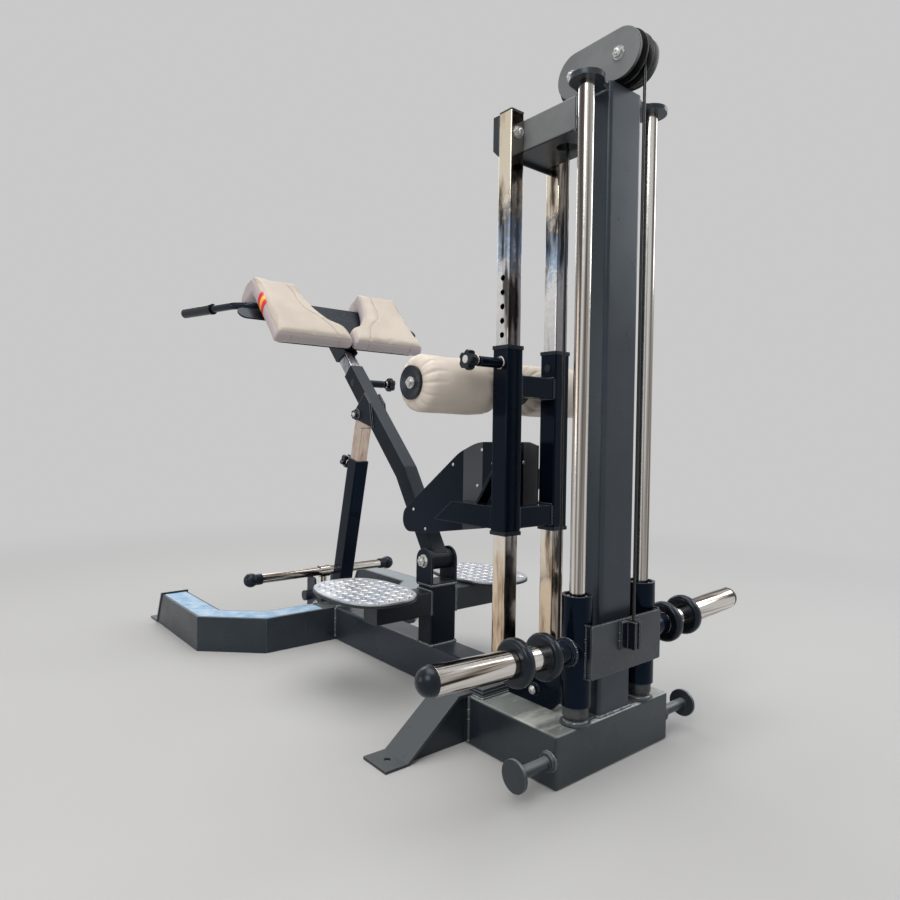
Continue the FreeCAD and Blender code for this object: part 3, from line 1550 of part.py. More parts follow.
pieces = {
    "base_box": base_box(),
    "main_beam": main_beam(),
    "front_hoop": front_hoop() + hoop_end_plates() + strut_foot_clevis(),
    "grip_strips": grip_strips(),
    "outriggers": outriggers(),
    "band_pegs": band_pegs(),
    "mast": mast(),
    "top_beam": top_beam(),
    "guide_rods": guide_rods(),
    "rod_ears": rod_ears(),
    "rod_bumpers": rod_bumpers(),
    "uprights": uprights(),
    "upright_base_bar": upright_base_bar(),
    "upright_cap_plate": upright_cap_plate(),
    "upright_bolts": upright_bolts(),
    "top_pulley_plates": top_pulley_plates(),
    "pulley_axles": pulley_axles(),
    "lower_pulley_guard": lower_pulley_guard(),
    "front_bracket": front_bracket(),
    "top_rear_pulley": pulley(top_rear_axle, top_axle_z, pulley_gap),
    "top_front_pulley": pulley(top_front_axle, top_axle_z, pulley_gap),
    "lower_pulley": pulley(lower_axle_y, lower_axle_z, pulley_gap),
    "front_pulley": pulley(front_axle_y, lower_axle_z, front_gap),
    "cable_run": cable_run(),
    "rear_cable": rear_cable(),
    "riser_cable": riser_cable(),
    "carriage_sleeves": carriage_sleeves(),
    "sleeve_bushes": sleeve_bushes(),
    "carriage_plate": carriage_plate_and_clamp(),
    "weight_horns": weight_horns(),
    "horn_rubbers": horn_rubbers(),
    "roller_sleeves": roller_sleeves(),
    "sleeve_collars": sleeve_collars(),
    "roller_crossbars": roller_crossbars(),
    "guard_plates": guard_plates(),
    "roller_axle": roller_axle(),
    "leg_roller_left": leg_roller(-1),
    "leg_roller_right": leg_roller(1),
    "roller_caps_left": roller_caps(-1),
    "roller_caps_right": roller_caps(1),
    "selector_pin": selector_pin(),
    "pivot_post": pivot_post(),
    "pivot_bolts": pivot_bolts(),
    "foot_plates": foot_crossbar() + foot_plates(),
    "foot_treads": foot_treads(),
    "arm_tube": arm_tube() + arm_saddle(),
    "arm_barrel": arm_barrel(),
    "arm_pin": arm_pin(),
    "pad_stem": pad_stem(),
    "pad_backing": pad_backing(),
    "hip_pad_left": hip_pad(-1),
    "hip_pad_right": hip_pad(1),
    "handles": handles(),
    "handle_grips": handle_grips() + handle_rings(),
    "strut_outer": strut_outer(),
    "strut_inner": strut_inner(),
    "strut_pin": strut_pin(),
    "pull_bar": pull_bar(),
    "bar_balls": bar_balls(),
    "bar_swivel": bar_swivel(),
}

for name, solids in pieces.items():
    save(name, solids)
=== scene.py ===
import json
import math
import random

import bmesh
import bpy
from mathutils import Matrix, Vector
from mathutils.bvhtree import BVHTree
from mathutils.kdtree import KDTree


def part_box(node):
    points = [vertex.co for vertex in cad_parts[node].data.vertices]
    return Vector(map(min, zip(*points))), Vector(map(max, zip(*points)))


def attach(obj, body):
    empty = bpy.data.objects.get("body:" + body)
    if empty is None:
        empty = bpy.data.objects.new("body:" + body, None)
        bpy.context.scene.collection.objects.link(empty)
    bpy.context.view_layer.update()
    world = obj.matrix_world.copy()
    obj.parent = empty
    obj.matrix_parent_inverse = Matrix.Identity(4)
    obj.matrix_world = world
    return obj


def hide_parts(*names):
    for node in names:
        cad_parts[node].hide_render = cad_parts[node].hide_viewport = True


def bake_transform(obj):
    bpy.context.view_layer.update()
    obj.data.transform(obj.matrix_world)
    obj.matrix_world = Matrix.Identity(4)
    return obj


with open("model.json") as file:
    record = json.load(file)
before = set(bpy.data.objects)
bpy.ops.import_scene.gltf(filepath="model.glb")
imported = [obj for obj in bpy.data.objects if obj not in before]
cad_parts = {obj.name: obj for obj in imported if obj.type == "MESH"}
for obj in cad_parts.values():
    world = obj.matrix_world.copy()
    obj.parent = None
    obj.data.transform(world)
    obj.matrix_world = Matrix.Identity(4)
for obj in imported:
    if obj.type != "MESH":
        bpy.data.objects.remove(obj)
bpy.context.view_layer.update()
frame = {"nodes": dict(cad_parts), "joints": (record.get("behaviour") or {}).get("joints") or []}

random.seed(7)
mm = 0.001
mergeGap = 0.00002
cadNodes = frame["nodes"]
joints = {joint["name"]: joint for joint in frame["joints"]}
upPad = Vector(joints["pad_slide"]["axis"]).normalized()
offPad = Vector((0, -upPad.z, upPad.y))


# Camera, lamps, floor

cameraSet = {"place": (-1.0812, -1.5673, 0.64), "heading": 39.5, "down": 1.4, "roll": 0.8, "lens": 26.816}


def makeCamera():
    data = bpy.data.cameras.new("camera")
    data.lens = cameraSet["lens"]
    camera = bpy.data.objects.new("camera", data)
    bpy.context.scene.collection.objects.link(camera)
    turn = Matrix.Rotation(math.radians(-cameraSet["heading"]), 4, "Z")
    turn = turn @ Matrix.Rotation(math.radians(90 - cameraSet["down"]), 4, "X")
    turn = turn @ Matrix.Rotation(math.radians(cameraSet["roll"]), 4, "Z")
    camera.matrix_world = Matrix.Translation(cameraSet["place"]) @ turn
    bpy.context.scene.camera = camera


studio = {
    "backdrop": (0.584, 0.584, 0.584),
    "skyLight": 0.44,
    "floorTone": (0.5, 0.5, 0.5),
    "floorSize": 60.0,
    "floorFade": (1.7, 3.2),
    "aim": (0, -0.2, 0.6),
    "lamps": [
        ("topLamp", (0.1, -0.3, 4.4), 3.4, 120.0, (1.0, 0.985, 0.96)),
        ("keyLamp", (-3.4, -2.2, 3.6), 2.2, 70.0, (1.0, 0.99, 0.97)),
        ("sideLamp", (3.6, -1.8, 2.6), 1.8, 34.0, (0.93, 0.96, 1.0)),
        ("backLamp", (1.2, 4.2, 3.4), 2.4, 46.0, (0.95, 0.97, 1.0)),
        ("lowLamp", (-3.4, 0.9, 1.1), 1.2, 12.0, (1.0, 0.93, 0.86)),
    ],
}


def makeStudio():
    scene = bpy.context.scene
    scene.view_settings.view_transform = "Standard"
    world = bpy.data.worlds.new("studio")
    scene.world = world
    world.use_nodes = True
    nodes = world.node_tree.nodes
    plain = feed(nodes["Background"], {"Color": (1, 1, 1), "Strength": studio["skyLight"]})
    seen = feed(nodes.new("ShaderNodeBackground"), {"Color": studio["backdrop"]})
    mixShaders(nodes, seenRays(nodes), plain, seen, nodes["World Output"])
    for name, place, size, power, tint in studio["lamps"]:
        data = bpy.data.lights.new(name, "AREA")
        data.size = size
        data.energy = power
        data.color = tint
        lamp = bpy.data.objects.new(name, data)
        scene.collection.objects.link(lamp)
        lamp.location = place
        aim = Vector(studio["aim"]) - Vector(place)
        lamp.rotation_euler = aim.to_track_quat("-Z", "Y").to_euler()


def mixShaders(nodes, share, first, second, output):
    mix = feed(nodes.new("ShaderNodeMixShader"), {0: share, 1: first.outputs[0], 2: second.outputs[0]})
    feed(output, {0: mix.outputs[0]})


def seenRays(nodes):
    # camera, mirror and glass rays count as seen, all others as light
    path = nodes.new("ShaderNodeLightPath")
    first = mathNode(nodes, "MAXIMUM", path.outputs["Is Camera Ray"], path.outputs["Is Glossy Ray"])
    return mathNode(nodes, "MAXIMUM", first, path.outputs["Is Transmission Ray"])


def makeFloor():
    half = studio["floorSize"] / 2
    floor = makeObject("floor", rectangle((-half, half), (-half, half), 0), [(0, 1, 2, 3)])
    material, nodes, shader = newMaterial("paleFloor")
    feed(shader, {"Base Color": studio["floorTone"], "Roughness": 0.95, "Specular IOR Level": 0.0})
    # away from the object the floor runs into the backdrop's tone
    reach = nodes.new("ShaderNodeVectorMath")
    reach.operation = "LENGTH"
    feed(reach, {0: placeNode(nodes)})
    fade = rangeNode(nodes, reach.outputs["Value"], 0.0, 1.0, *studio["floorFade"])
    fade.node.interpolation_type = "SMOOTHSTEP"
    far = feed(nodes.new("ShaderNodeEmission"), {"Color": studio["backdrop"]})
    share = mathNode(nodes, "MULTIPLY", fade, seenRays(nodes))
    mixShaders(nodes, share, shader, far, nodes["Material Output"])
    floor.data.materials.append(material)


# Node helpers

def feed(node, values):
    # each input takes another node's socket, a colour, a vector or a number
    for name, value in values.items():
        socket = node.inputs[name]
        if isinstance(value, bpy.types.NodeSocket):
            node.id_data.links.new(value, socket)
        elif socket.type == "RGBA":
            socket.default_value = (*value, 1)
        else:
            socket.default_value = value
    return node


def newMaterial(name):
    material = bpy.data.materials.new(name)
    material.use_nodes = True
    nodes = material.node_tree.nodes
    return material, nodes, nodes["Principled BSDF"]


def mathNode(nodes, operation, first, second):
    node = nodes.new("ShaderNodeMath")
    node.operation = operation
    return feed(node, {0: first, 1: second}).outputs[0]


def dotNode(nodes, first, second):
    node = nodes.new("ShaderNodeVectorMath")
    node.operation = "DOT_PRODUCT"
    return feed(node, {0: first, 1: second}).outputs["Value"]


def placeNode(nodes, scale=(1, 1, 1)):
    # the object's own coordinates, in metres, stretched by the scale
    coords = nodes.new("ShaderNodeTexCoord")
    mapping = nodes.new("ShaderNodeMapping")
    return feed(mapping, {"Scale": scale, "Vector": coords.outputs["Object"]}).outputs[0]


def axisNode(nodes, vector, axis):
    return feed(nodes.new("ShaderNodeSeparateXYZ"), {0: vector}).outputs[axis]


def noiseNode(nodes, vector, scale, detail, rough=0.5):
    noise = nodes.new("ShaderNodeTexNoise")
    feed(noise, {"Scale": scale, "Detail": detail, "Roughness": rough, "Vector": vector})
    return noise.outputs["Fac"]


def rampNode(nodes, fac, stops):
    ramp = nodes.new("ShaderNodeValToRGB")
    while len(ramp.color_ramp.elements) < len(stops):
        ramp.color_ramp.elements.new(0.5)
    for element, (place, colour) in zip(ramp.color_ramp.elements, stops):
        element.position = place
        element.color = (*colour, 1)
    return feed(ramp, {0: fac}).outputs[0]


def rangeNode(nodes, fac, low, high, start=0.3, end=0.7):
    node = nodes.new("ShaderNodeMapRange")
    feed(node, {"From Min": start, "From Max": end, "To Min": low, "To Max": high, "Value": fac})
    return node.outputs[0]


def bevelNode(nodes, radius, samples):
    bevel = nodes.new("ShaderNodeBevel")
    bevel.samples = samples
    return feed(bevel, {"Radius": radius}).outputs[0]


def bumpNode(nodes, shader, height, distance, strength, softEdge=0.0):
    bump = nodes.new("ShaderNodeBump")
    feed(bump, {"Distance": distance, "Strength": strength, "Height": height})
    if softEdge:
        feed(bump, {"Normal": bevelNode(nodes, softEdge, 4)})
    feed(shader, {"Normal": bump.outputs[0]})


def mixTone(nodes, share, first, second, blend="MIX"):
    # two tones, each a colour or a socket; 6, 7 and 2 are the mix node's colour sockets
    mix = nodes.new("ShaderNodeMix")
    mix.data_type = "RGBA"
    mix.blend_type = blend
    return feed(mix, {"Factor": share, 6: first, 7: second}).outputs[2]


def facingShare(nodes, axis, start, end):
    # how far a face looks along an axis, or against it where the end is below the start
    geometry = nodes.new("ShaderNodeNewGeometry")
    return rangeNode(nodes, axisNode(nodes, geometry.outputs["Normal"], axis), 0.0, 1.0, start, end)


def edgeShare(nodes, radius):
    # 1 on a sharp edge, 0 away from it
    geometry = nodes.new("ShaderNodeNewGeometry")
    match = dotNode(nodes, bevelNode(nodes, radius, 6), geometry.outputs["Normal"])
    return rangeNode(nodes, match, 0.0, 1.0, 0.985, 0.9)


def bandShare(nodes, bands):
    # 1 where a point's place along the object is in one of two bands
    y = axisNode(nodes, placeNode(nodes), "Y")
    shares = []
    for rear, front in bands:
        after = mathNode(nodes, "GREATER_THAN", y, rear)
        before = mathNode(nodes, "LESS_THAN", y, front)
        shares.append(mathNode(nodes, "MULTIPLY", after, before))
    return mathNode(nodes, "MAXIMUM", *shares)


# Finishes: each table holds what differs from its base

# in the paint tables, top is painted highlight on upward faces, gleam is painted reflection streaks on them,
# under is painted shade on downward faces, and edgeWearAndHighlight is a paler edge, partly wear and partly
# painted highlight
paintBase = {"rough": (0.26, 0.38), "grain": 700.0, "depth": 0.00012, "edge": 0.0024, "shine": 0.45,
             "tint": (0.78, 0.9, 1.0)}
glossBase = {"grain": 260.0, "depth": 0.00014, "shine": 0.17, "tint": (0.42, 0.66, 1.0)}
beadBase = {"grain": 420.0, "depth": 0.00016, "edge": 0.0}
# bands along the object have a tone of their own: on the carriage, the gloss black of its cable clamp and
# flanges; on the guard, strips of painted reflection
paints = {
    "slatePaint": {"dark": (0.016, 0.021, 0.028), "pale": (0.032, 0.039, 0.047),
        "top": (0.09, 0.098, 0.102), "edgeWearAndHighlight": (0.15, 0.165, 0.175)},
    "boxPaint": {"dark": (0.014, 0.019, 0.026), "pale": (0.032, 0.039, 0.045), "rough": (0.14, 0.26),
        "depth": 0.00008, "edge": 0.0038, "shine": 0.62, "tint": (0.85, 0.94, 1.0),
        "top": (0.235, 0.26, 0.25), "gleam": (0.62, 0.65, 0.6), "edgeWearAndHighlight": (0.5, 0.53, 0.53)},
    "postPaint": {"dark": (0.004, 0.008, 0.014), "pale": (0.013, 0.018, 0.026), "shine": 0.12,
        "tint": (0.75, 0.88, 1.0), "top": (0.03, 0.036, 0.044), "edgeWearAndHighlight": (0.12, 0.135, 0.15)},
    "deepPaint": {"dark": (0.018, 0.025, 0.035), "pale": (0.036, 0.044, 0.056),
        "top": (0.03, 0.036, 0.044), "edgeWearAndHighlight": (0.1, 0.115, 0.13)},
    "armPaint": {"dark": (0.004, 0.007, 0.012), "pale": (0.015, 0.019, 0.026), "rough": (0.24, 0.42),
        "grain": 600.0, "edge": 0.0026, "shine": 0.12, "tint": (0.75, 0.88, 1.0),
        "top": (0.062, 0.07, 0.078), "edgeWearAndHighlight": (0.34, 0.35, 0.36)},
    "pegPaint": {"dark": (0.024, 0.03, 0.037), "pale": (0.044, 0.051, 0.058),
        "top": (0.2, 0.215, 0.215), "edgeWearAndHighlight": (0.15, 0.165, 0.175)},
    # the cheeks and top beam: their under tone is painted shade on downward faces
    "cheekPaint": {"dark": (0.14, 0.149, 0.154), "pale": (0.235, 0.246, 0.25), "rough": (0.3, 0.42),
        "shine": 0.3, "tint": (0.9, 0.95, 1.0), "under": (0.018, 0.023, 0.029),
        "edgeWearAndHighlight": (0.05, 0.055, 0.06)},
    "platePaint": {"dark": (0.02, 0.025, 0.031), "pale": (0.05, 0.056, 0.064), "rough": (0.22, 0.36),
        "shine": 0.5, "tint": (0.85, 0.93, 1.0), "top": (0.082, 0.09, 0.094),
        "edgeWearAndHighlight": (0.16, 0.17, 0.18), "bands": [(-9.0, -0.8014), (-0.7958, 9.0)],
        "bandToneAndReflection": (0.0026, 0.0048, 0.0105)},
    "glossPaint": {**glossBase, "dark": (0.0016, 0.003, 0.007), "pale": (0.0034, 0.0058, 0.0125),
        "rough": (0.06, 0.15), "edge": 0.003, "top": (0.014, 0.019, 0.03),
        "edgeWearAndHighlight": (0.06, 0.072, 0.095)},
    "guardPaint": {**glossBase, "dark": (0.0016, 0.003, 0.007), "pale": (0.0036, 0.006, 0.0125),
        "rough": (0.1, 0.2), "edge": 0.0016, "edgeWearAndHighlight": (0.1, 0.11, 0.12),
        "bands": [(-0.5144, -0.4698), (-0.4354, -0.3686)], "bandToneAndReflection": (0.086, 0.087, 0.094)},
    "blackBead": {**beadBase, "dark": (0.003, 0.0048, 0.009), "pale": (0.009, 0.012, 0.018),
        "rough": (0.05, 0.12), "shine": 0.9, "tint": (0.8, 0.9, 1.0), "top": (0.02, 0.024, 0.03)},
    "beadPaint": {**beadBase, "dark": (0.028, 0.034, 0.042), "pale": (0.105, 0.118, 0.128),
        "rough": (0.1, 0.2), "shine": 1.0, "tint": (0.9, 0.96, 1.0), "top": (0.17, 0.185, 0.19)},
    "satinBlack": {"dark": (0.003, 0.0042, 0.0075), "pale": (0.0065, 0.0085, 0.013), "rough": (0.2, 0.32),
        "grain": 500.0, "depth": 0.0001, "edge": 0.0014, "shine": 0.34, "tint": (0.6, 0.8, 1.0),
        "edgeWearAndHighlight": (0.035, 0.042, 0.052)},
    "rimPaint": {"dark": (0.012, 0.015, 0.018), "pale": (0.022, 0.026, 0.03), "rough": (0.3, 0.42),
        "grain": 600.0, "depth": 0.0001, "edge": 0.0014, "shine": 0.4, "tint": (0.8, 0.9, 1.0),
        "edgeWearAndHighlight": (0.12, 0.13, 0.135)},
}


def paintNodes(nodes, shader, look):
    # powder coat: two close tones in soft clouds, fine grain, softened edges; painted highlight where it faces
    # up, painted shade where it faces down, and paler edges that are partly wear and partly painted highlight
    look = {**paintBase, **look}
    place = placeNode(nodes)
    clouds = noiseNode(nodes, place, 5.0, 5.0, 0.6)
    tone = rampNode(nodes, clouds, [(0.3, look["dark"]), (0.7, look["pale"])])
    # a band tone: paint on the carriage plate, painted reflection on the guard plates
    if "bands" in look:
        tone = mixTone(nodes, bandShare(nodes, look["bands"]), tone, look["bandToneAndReflection"])
    # painted highlight: faces that look up take the paler top tone, as where light falls from above
    if "top" in look:
        top = look["top"]
        # painted reflection: pale streaks of reflected light over the box's upward faces
        if "gleam" in look:
            reflectionStreaks = noiseNode(nodes, placeNode(nodes, (5.0, 20.0, 5.0)), 1.0, 6.0, 0.66)
            top = mixTone(nodes, rangeNode(nodes, reflectionStreaks, 0.0, 1.0, 0.46, 0.64), top, look["gleam"])
        tone = mixTone(nodes, facingShare(nodes, "Z", 0.35, 0.85), tone, top)
    # painted shade: faces that look down take the darker under tone
    if "under" in look:
        tone = mixTone(nodes, facingShare(nodes, "Z", -0.3, -0.8), tone, look["under"])
    # paler edges: partly wear, partly painted highlight along edges that catch the light
    if "edgeWearAndHighlight" in look:
        tone = mixTone(nodes, edgeShare(nodes, look["edge"] * 0.7), tone, look["edgeWearAndHighlight"])
    smears = noiseNode(nodes, place, 18.0, 4.0, 0.65)
    feed(shader, {"Base Color": tone, "Roughness": rangeNode(nodes, smears, *look["rough"]),
                  "Specular IOR Level": look["shine"], "Specular Tint": look["tint"]})
    bumpNode(nodes, shader, noiseNode(nodes, place, look["grain"], 2.0), look["depth"], 0.6, look["edge"])


# painted reflections up the uprights: tones by height, and painted shade on the rear faces
railReflectionZones = {
    "span": (0.1, 1.32), "ragged": 0.05, "rear": (0.33, 0.325, 0.35), "rearLow": (0.5, 0.53, 0.6),
    "rearSplit": (0.46, 0.42),
    "tones": [(0.12, (0.74, 0.58, 0.44)), (0.3, (0.86, 0.7, 0.54)), (0.4, (0.95, 0.86, 0.74)),
              (0.44, (0.92, 0.9, 0.88)), (0.84, (0.8, 0.8, 0.82)), (0.98, (1.0, 1.0, 1.0)),
              (1.01, (0.62, 0.74, 0.92)), (1.06, (0.4, 0.54, 0.76)), (1.1, (0.42, 0.44, 0.48)),
              (1.125, (0.8, 0.74, 0.64)), (1.16, (1.0, 0.92, 0.78)), (1.3, (1.0, 0.88, 0.69))],
}
# chrome and steel tones: their warm, dark and bright streaks are painted reflections
chromes = {
    "railChrome": {"bright": (0.99, 0.98, 0.96), "mid": (0.66, 0.6, 0.54), "dark": (0.12, 0.11, 0.11),
        "stretch": (34.0, 34.0, 5.0), "stops": (0.37, 0.43, 0.5, 0.66), "rough": (0.06, 0.2),
        "zones": railReflectionZones},
    "barChrome": {"bright": (0.78, 0.75, 0.71), "mid": (0.4, 0.335, 0.28), "dark": (0.04, 0.033, 0.03),
        "stretch": (1.6, 90.0, 90.0), "stops": (0.41, 0.48, 0.56, 0.7), "rough": (0.06, 0.15)},
    "rodSteel": {"bright": (0.84, 0.82, 0.79), "mid": (0.4, 0.355, 0.31), "dark": (0.12, 0.105, 0.1),
        "stretch": (170.0, 170.0, 0.6), "stops": (0.39, 0.48, 0.57, 0.7), "rough": (0.12, 0.22)},
    "coolSteel": {"bright": (0.54, 0.55, 0.6), "mid": (0.34, 0.35, 0.39), "dark": (0.09, 0.09, 0.105),
        "stretch": (30.0, 16.0, 11.0), "stops": (0.34, 0.42, 0.56, 0.7), "rough": (0.14, 0.28)},
    "stemChrome": {"bright": (0.69, 0.565, 0.475), "mid": (0.46, 0.335, 0.26), "dark": (0.1, 0.085, 0.08),
        "stretch": (30.0, 16.0, 11.0), "stops": (0.34, 0.42, 0.56, 0.7), "rough": (0.12, 0.26)},
}


def chromeNodes(nodes, shader, look):
    # bright metal whose base colour carries long warm, dark and bright streaks of painted reflection
    reflectionStreaks = noiseNode(nodes, placeNode(nodes, look["stretch"]), 1.0, 4.0, 0.55)
    tones = (look["dark"], look["mid"], look["bright"], look["bright"])
    tone = rampNode(nodes, reflectionStreaks, list(zip(look["stops"], tones)))
    place = placeNode(nodes)
    marks = noiseNode(nodes, place, 60.0, 5.0, 0.7)
    if "zones" in look:
        tone = zoneTone(nodes, place, marks, tone, look["zones"])
    feed(shader, {"Base Color": tone, "Metallic": 1.0, "Roughness": rangeNode(nodes, marks, *look["rough"])})
    bumpNode(nodes, shader, noiseNode(nodes, place, 25.0, 2.0), 0.0004, 0.25, 0.001)


def zoneTone(nodes, place, marks, tone, zones):
    # painted reflections on the uprights' chrome: tones in zones up their length, and painted shade on the rear
    # faces, with a bluish painted reflection low down
    low, high = zones["span"]
    ragged = rangeNode(nodes, marks, -zones["ragged"], zones["ragged"])
    height = mathNode(nodes, "ADD", axisNode(nodes, place, "Z"), ragged)
    stops = [((z - low) / (high - low), colour) for z, colour in zones["tones"]]
    zoneReflections = rampNode(nodes, rangeNode(nodes, height, 0.0, 1.0, low, high), stops)
    reflectionTinted = mixTone(nodes, 1.0, tone, zoneReflections, "MULTIPLY")
    lower = rangeNode(nodes, height, 0.0, 1.0, *zones["rearSplit"])
    rearShade = mixTone(nodes, lower, zones["rear"], zones["rearLow"])
    rearShaded = mixTone(nodes, 1.0, reflectionTinted, rearShade, "MULTIPLY")
    return mixTone(nodes, facingShare(nodes, "Y", -0.5, -0.8), reflectionTinted, rearShaded)


coatBase = {"noise": (30.0, 5.0, 0.65), "stops": (0.35, 0.7), "strength": 0.7, "edge": 0.0008, "metal": 0.0,
            "tint": (1.0, 1.0, 1.0)}


def plainCoat(tone, rough):
    return {"dark": tuple(c * 0.82 for c in tone), "pale": tone, "rough": (rough * 0.85, rough * 1.15),
            "noise": (120.0, 3.0), "stops": (0.3, 0.7), "depth": 0.0001, "strength": 0.5, "edge": 0.0}


coats = {
    "blackRubber": {"dark": (0.0035, 0.0042, 0.0055), "pale": (0.0075, 0.0085, 0.011), "rough": (0.2, 0.34),
        "grain": (320.0, 3.0), "depth": 0.00012, "tint": (0.55, 0.66, 0.8)},
    # painted highlight: the buffer rubber's pale spots stand for bright streaks of light on it
    "bufferRubber": {"dark": (0.016, 0.018, 0.021), "pale": (0.085, 0.09, 0.095), "rough": (0.35, 0.6),
        "grain": (240.0, 3.0), "depth": 0.0002},
    "blackPlastic": {"dark": (0.004, 0.005, 0.007), "pale": (0.009, 0.011, 0.014), "rough": (0.22, 0.34),
        "grain": (400.0, 3.0), "depth": 0.00006, "tint": (0.5, 0.62, 0.78)},
    "pulleyPlastic": {"dark": (0.007, 0.007, 0.008), "pale": (0.018, 0.018, 0.019), "rough": (0.28, 0.42),
        "grain": (350.0, 3.0), "depth": 0.00008},
    "bushPlastic": {"dark": (0.44, 0.41, 0.34), "pale": (0.55, 0.52, 0.44), "rough": (0.35, 0.5),
        "grain": (300.0, 3.0), "depth": 0.00005},
    "whitePlastic": {"dark": (0.55, 0.55, 0.54), "pale": (0.66, 0.66, 0.65), "rough": (0.3, 0.42),
        "grain": (300.0, 3.0), "depth": 0.00005},
    "cableCoat": {"dark": (0.006, 0.006, 0.006), "pale": (0.014, 0.014, 0.014), "rough": (0.26, 0.4),
        "grain": (500.0, 3.0), "depth": 0.00008},
    "zincPlate": {"dark": (0.42, 0.42, 0.42), "pale": (0.72, 0.72, 0.71), "rough": (0.2, 0.38), "metal": 0.6,
        "noise": (150.0, 4.0, 0.6), "stops": (0.35, 0.65), "depth": 0.0002, "strength": 0.5},
    "gripTape": {"dark": (0.21, 0.4, 0.62), "pale": (0.54, 0.67, 0.79), "rough": (0.7, 0.7),
        "noise": (26.0, 6.0, 0.7), "stops": (0.35, 0.66), "grain": (900.0, 2.0), "depth": 0.0005,
        "strength": 0.8, "edge": 0.0, "right": (0.3, 0.335, 0.36)},
    "treadPlate": {**plainCoat((0.66, 0.66, 0.67), 0.34), "dark": (0.4, 0.45, 0.52), "metal": 0.75,
        "noise": (26.0, 3.0)},
    "seamThread": plainCoat((0.3, 0.25, 0.215), 0.8),
    "stitchThread": plainCoat((0.52, 0.46, 0.41), 0.75),
    "redTape": plainCoat((0.8, 0.016, 0.065), 0.5),
    "yellowTape": plainCoat((0.9, 0.58, 0.04), 0.5),
}


def coatNodes(nodes, shader, look):
    # rubber, plastic, zinc, tape, thread: soft spots in the tone, and a grain or the spots as relief
    look = {**coatBase, **look}
    place = placeNode(nodes)
    spots = noiseNode(nodes, place, *look["noise"])
    tone = rampNode(nodes, spots, list(zip(look["stops"], (look["dark"], look["pale"]))))
    if "right" in look:
        onRight = mathNode(nodes, "GREATER_THAN", axisNode(nodes, place, "X"), 0.0)
        tone = mixTone(nodes, onRight, tone, look["right"])
    feed(shader, {"Base Color": tone, "Roughness": rangeNode(nodes, spots, *look["rough"]),
                  "Metallic": look["metal"], "Specular Tint": look["tint"]})
    grain = noiseNode(nodes, place, *look["grain"]) if "grain" in look else spots
    bumpNode(nodes, shader, grain, look["depth"], look["strength"], look["edge"])


leathers = {
    "padLeather": {"dark": (0.45, 0.39, 0.33), "pale": (0.55, 0.49, 0.42), "side": (0.52, 0.455, 0.46)},
    "rollerLeather": {"dark": (0.6, 0.525, 0.445), "pale": (0.74, 0.66, 0.575)},
}


def leatherNodes(nodes, shader, look):
    # sewn cover: pebble grain, soft tone clouds, faint creases
    place = placeNode(nodes)
    clouds = noiseNode(nodes, place, 7.0, 5.0, 0.6)
    tone = rampNode(nodes, clouds, [(0.32, look["dark"]), (0.62, look["pale"])])
    if "side" in look:
        # the side panels of the pads are cut from a greyer hide than their faces
        face = offPad.dot(Vector(padShape["origin"]))
        share = rangeNode(nodes, dotNode(nodes, place, offPad), 1.0, 0.0, face - 0.012, face - 0.004)
        tone = mixTone(nodes, share, tone, look["side"])
    feed(shader, {"Base Color": tone, "Roughness": rangeNode(nodes, clouds, 0.46, 0.6)})
    pebble = nodes.new("ShaderNodeTexVoronoi")
    pebble.feature = "DISTANCE_TO_EDGE"
    feed(pebble, {"Scale": 750.0, "Vector": place})
    pebbles = mathNode(nodes, "MULTIPLY", pebble.outputs["Distance"], 0.6)
    height = mathNode(nodes, "ADD", pebbles, noiseNode(nodes, place, 40.0, 6.0, 0.7))
    bumpNode(nodes, shader, height, 0.0006, 0.45)


materials = {}


def makeMaterials():
    finishes = ((paints, paintNodes), (chromes, chromeNodes), (coats, coatNodes), (leathers, leatherNodes))
    for looks, addNodes in finishes:
        for name, look in looks.items():
            materials[name], nodes, shader = newMaterial(name)
            addNodes(nodes, shader, look)


nodeFinish = {
    "slatePaint": ["front_hoop", "outriggers", "rod_ears", "upright_base_bar", "upright_cap_plate"],
    "pegPaint": ["band_pegs"],
    "boxPaint": ["base_box"],
    "deepPaint": ["main_beam", "mast", "front_bracket"],
    "postPaint": ["pivot_post"],
    "armPaint": ["arm_tube", "arm_barrel"],
    "cheekPaint": ["top_pulley_plates", "top_beam"],
    "platePaint": ["carriage_plate"],
    "glossPaint": ["carriage_sleeves", "roller_sleeves", "roller_crossbars", "strut_outer",
        "lower_pulley_guard"],
    "guardPaint": ["guard_plates"],
    "satinBlack": ["pad_backing", "handles"],
    "rimPaint": ["foot_plates"],
    "railChrome": ["uprights"],
    "rodSteel": ["guide_rods"],
    "barChrome": ["weight_horns", "pull_bar", "bar_swivel"],
    "stemChrome": ["strut_inner"],
    "coolSteel": ["pad_stem"],
    "zincPlate": ["upright_bolts", "pulley_axles", "pivot_bolts", "roller_axle"],
    "blackRubber": ["horn_rubbers", "handle_grips"],
    "bufferRubber": ["rod_bumpers"],
    "blackPlastic": ["sleeve_collars", "roller_caps_left", "roller_caps_right", "selector_pin", "arm_pin",
        "strut_pin", "bar_balls"],
    "pulleyPlastic": ["top_rear_pulley", "top_front_pulley", "lower_pulley", "front_pulley"],
    "bushPlastic": ["sleeve_bushes"],
    "cableCoat": ["cable_run"],
    "gripTape": ["grip_strips"],
    "treadPlate": ["foot_treads"],
}


def finishNodes():
    for finish, names in nodeFinish.items():
        for name in names:
            data = cadNodes[name].data
            data.materials.clear()
            data.materials.append(materials[finish])
            data.shade_smooth()
            data.set_sharp_from_angle(angle=math.radians(32))


# Mesh helpers

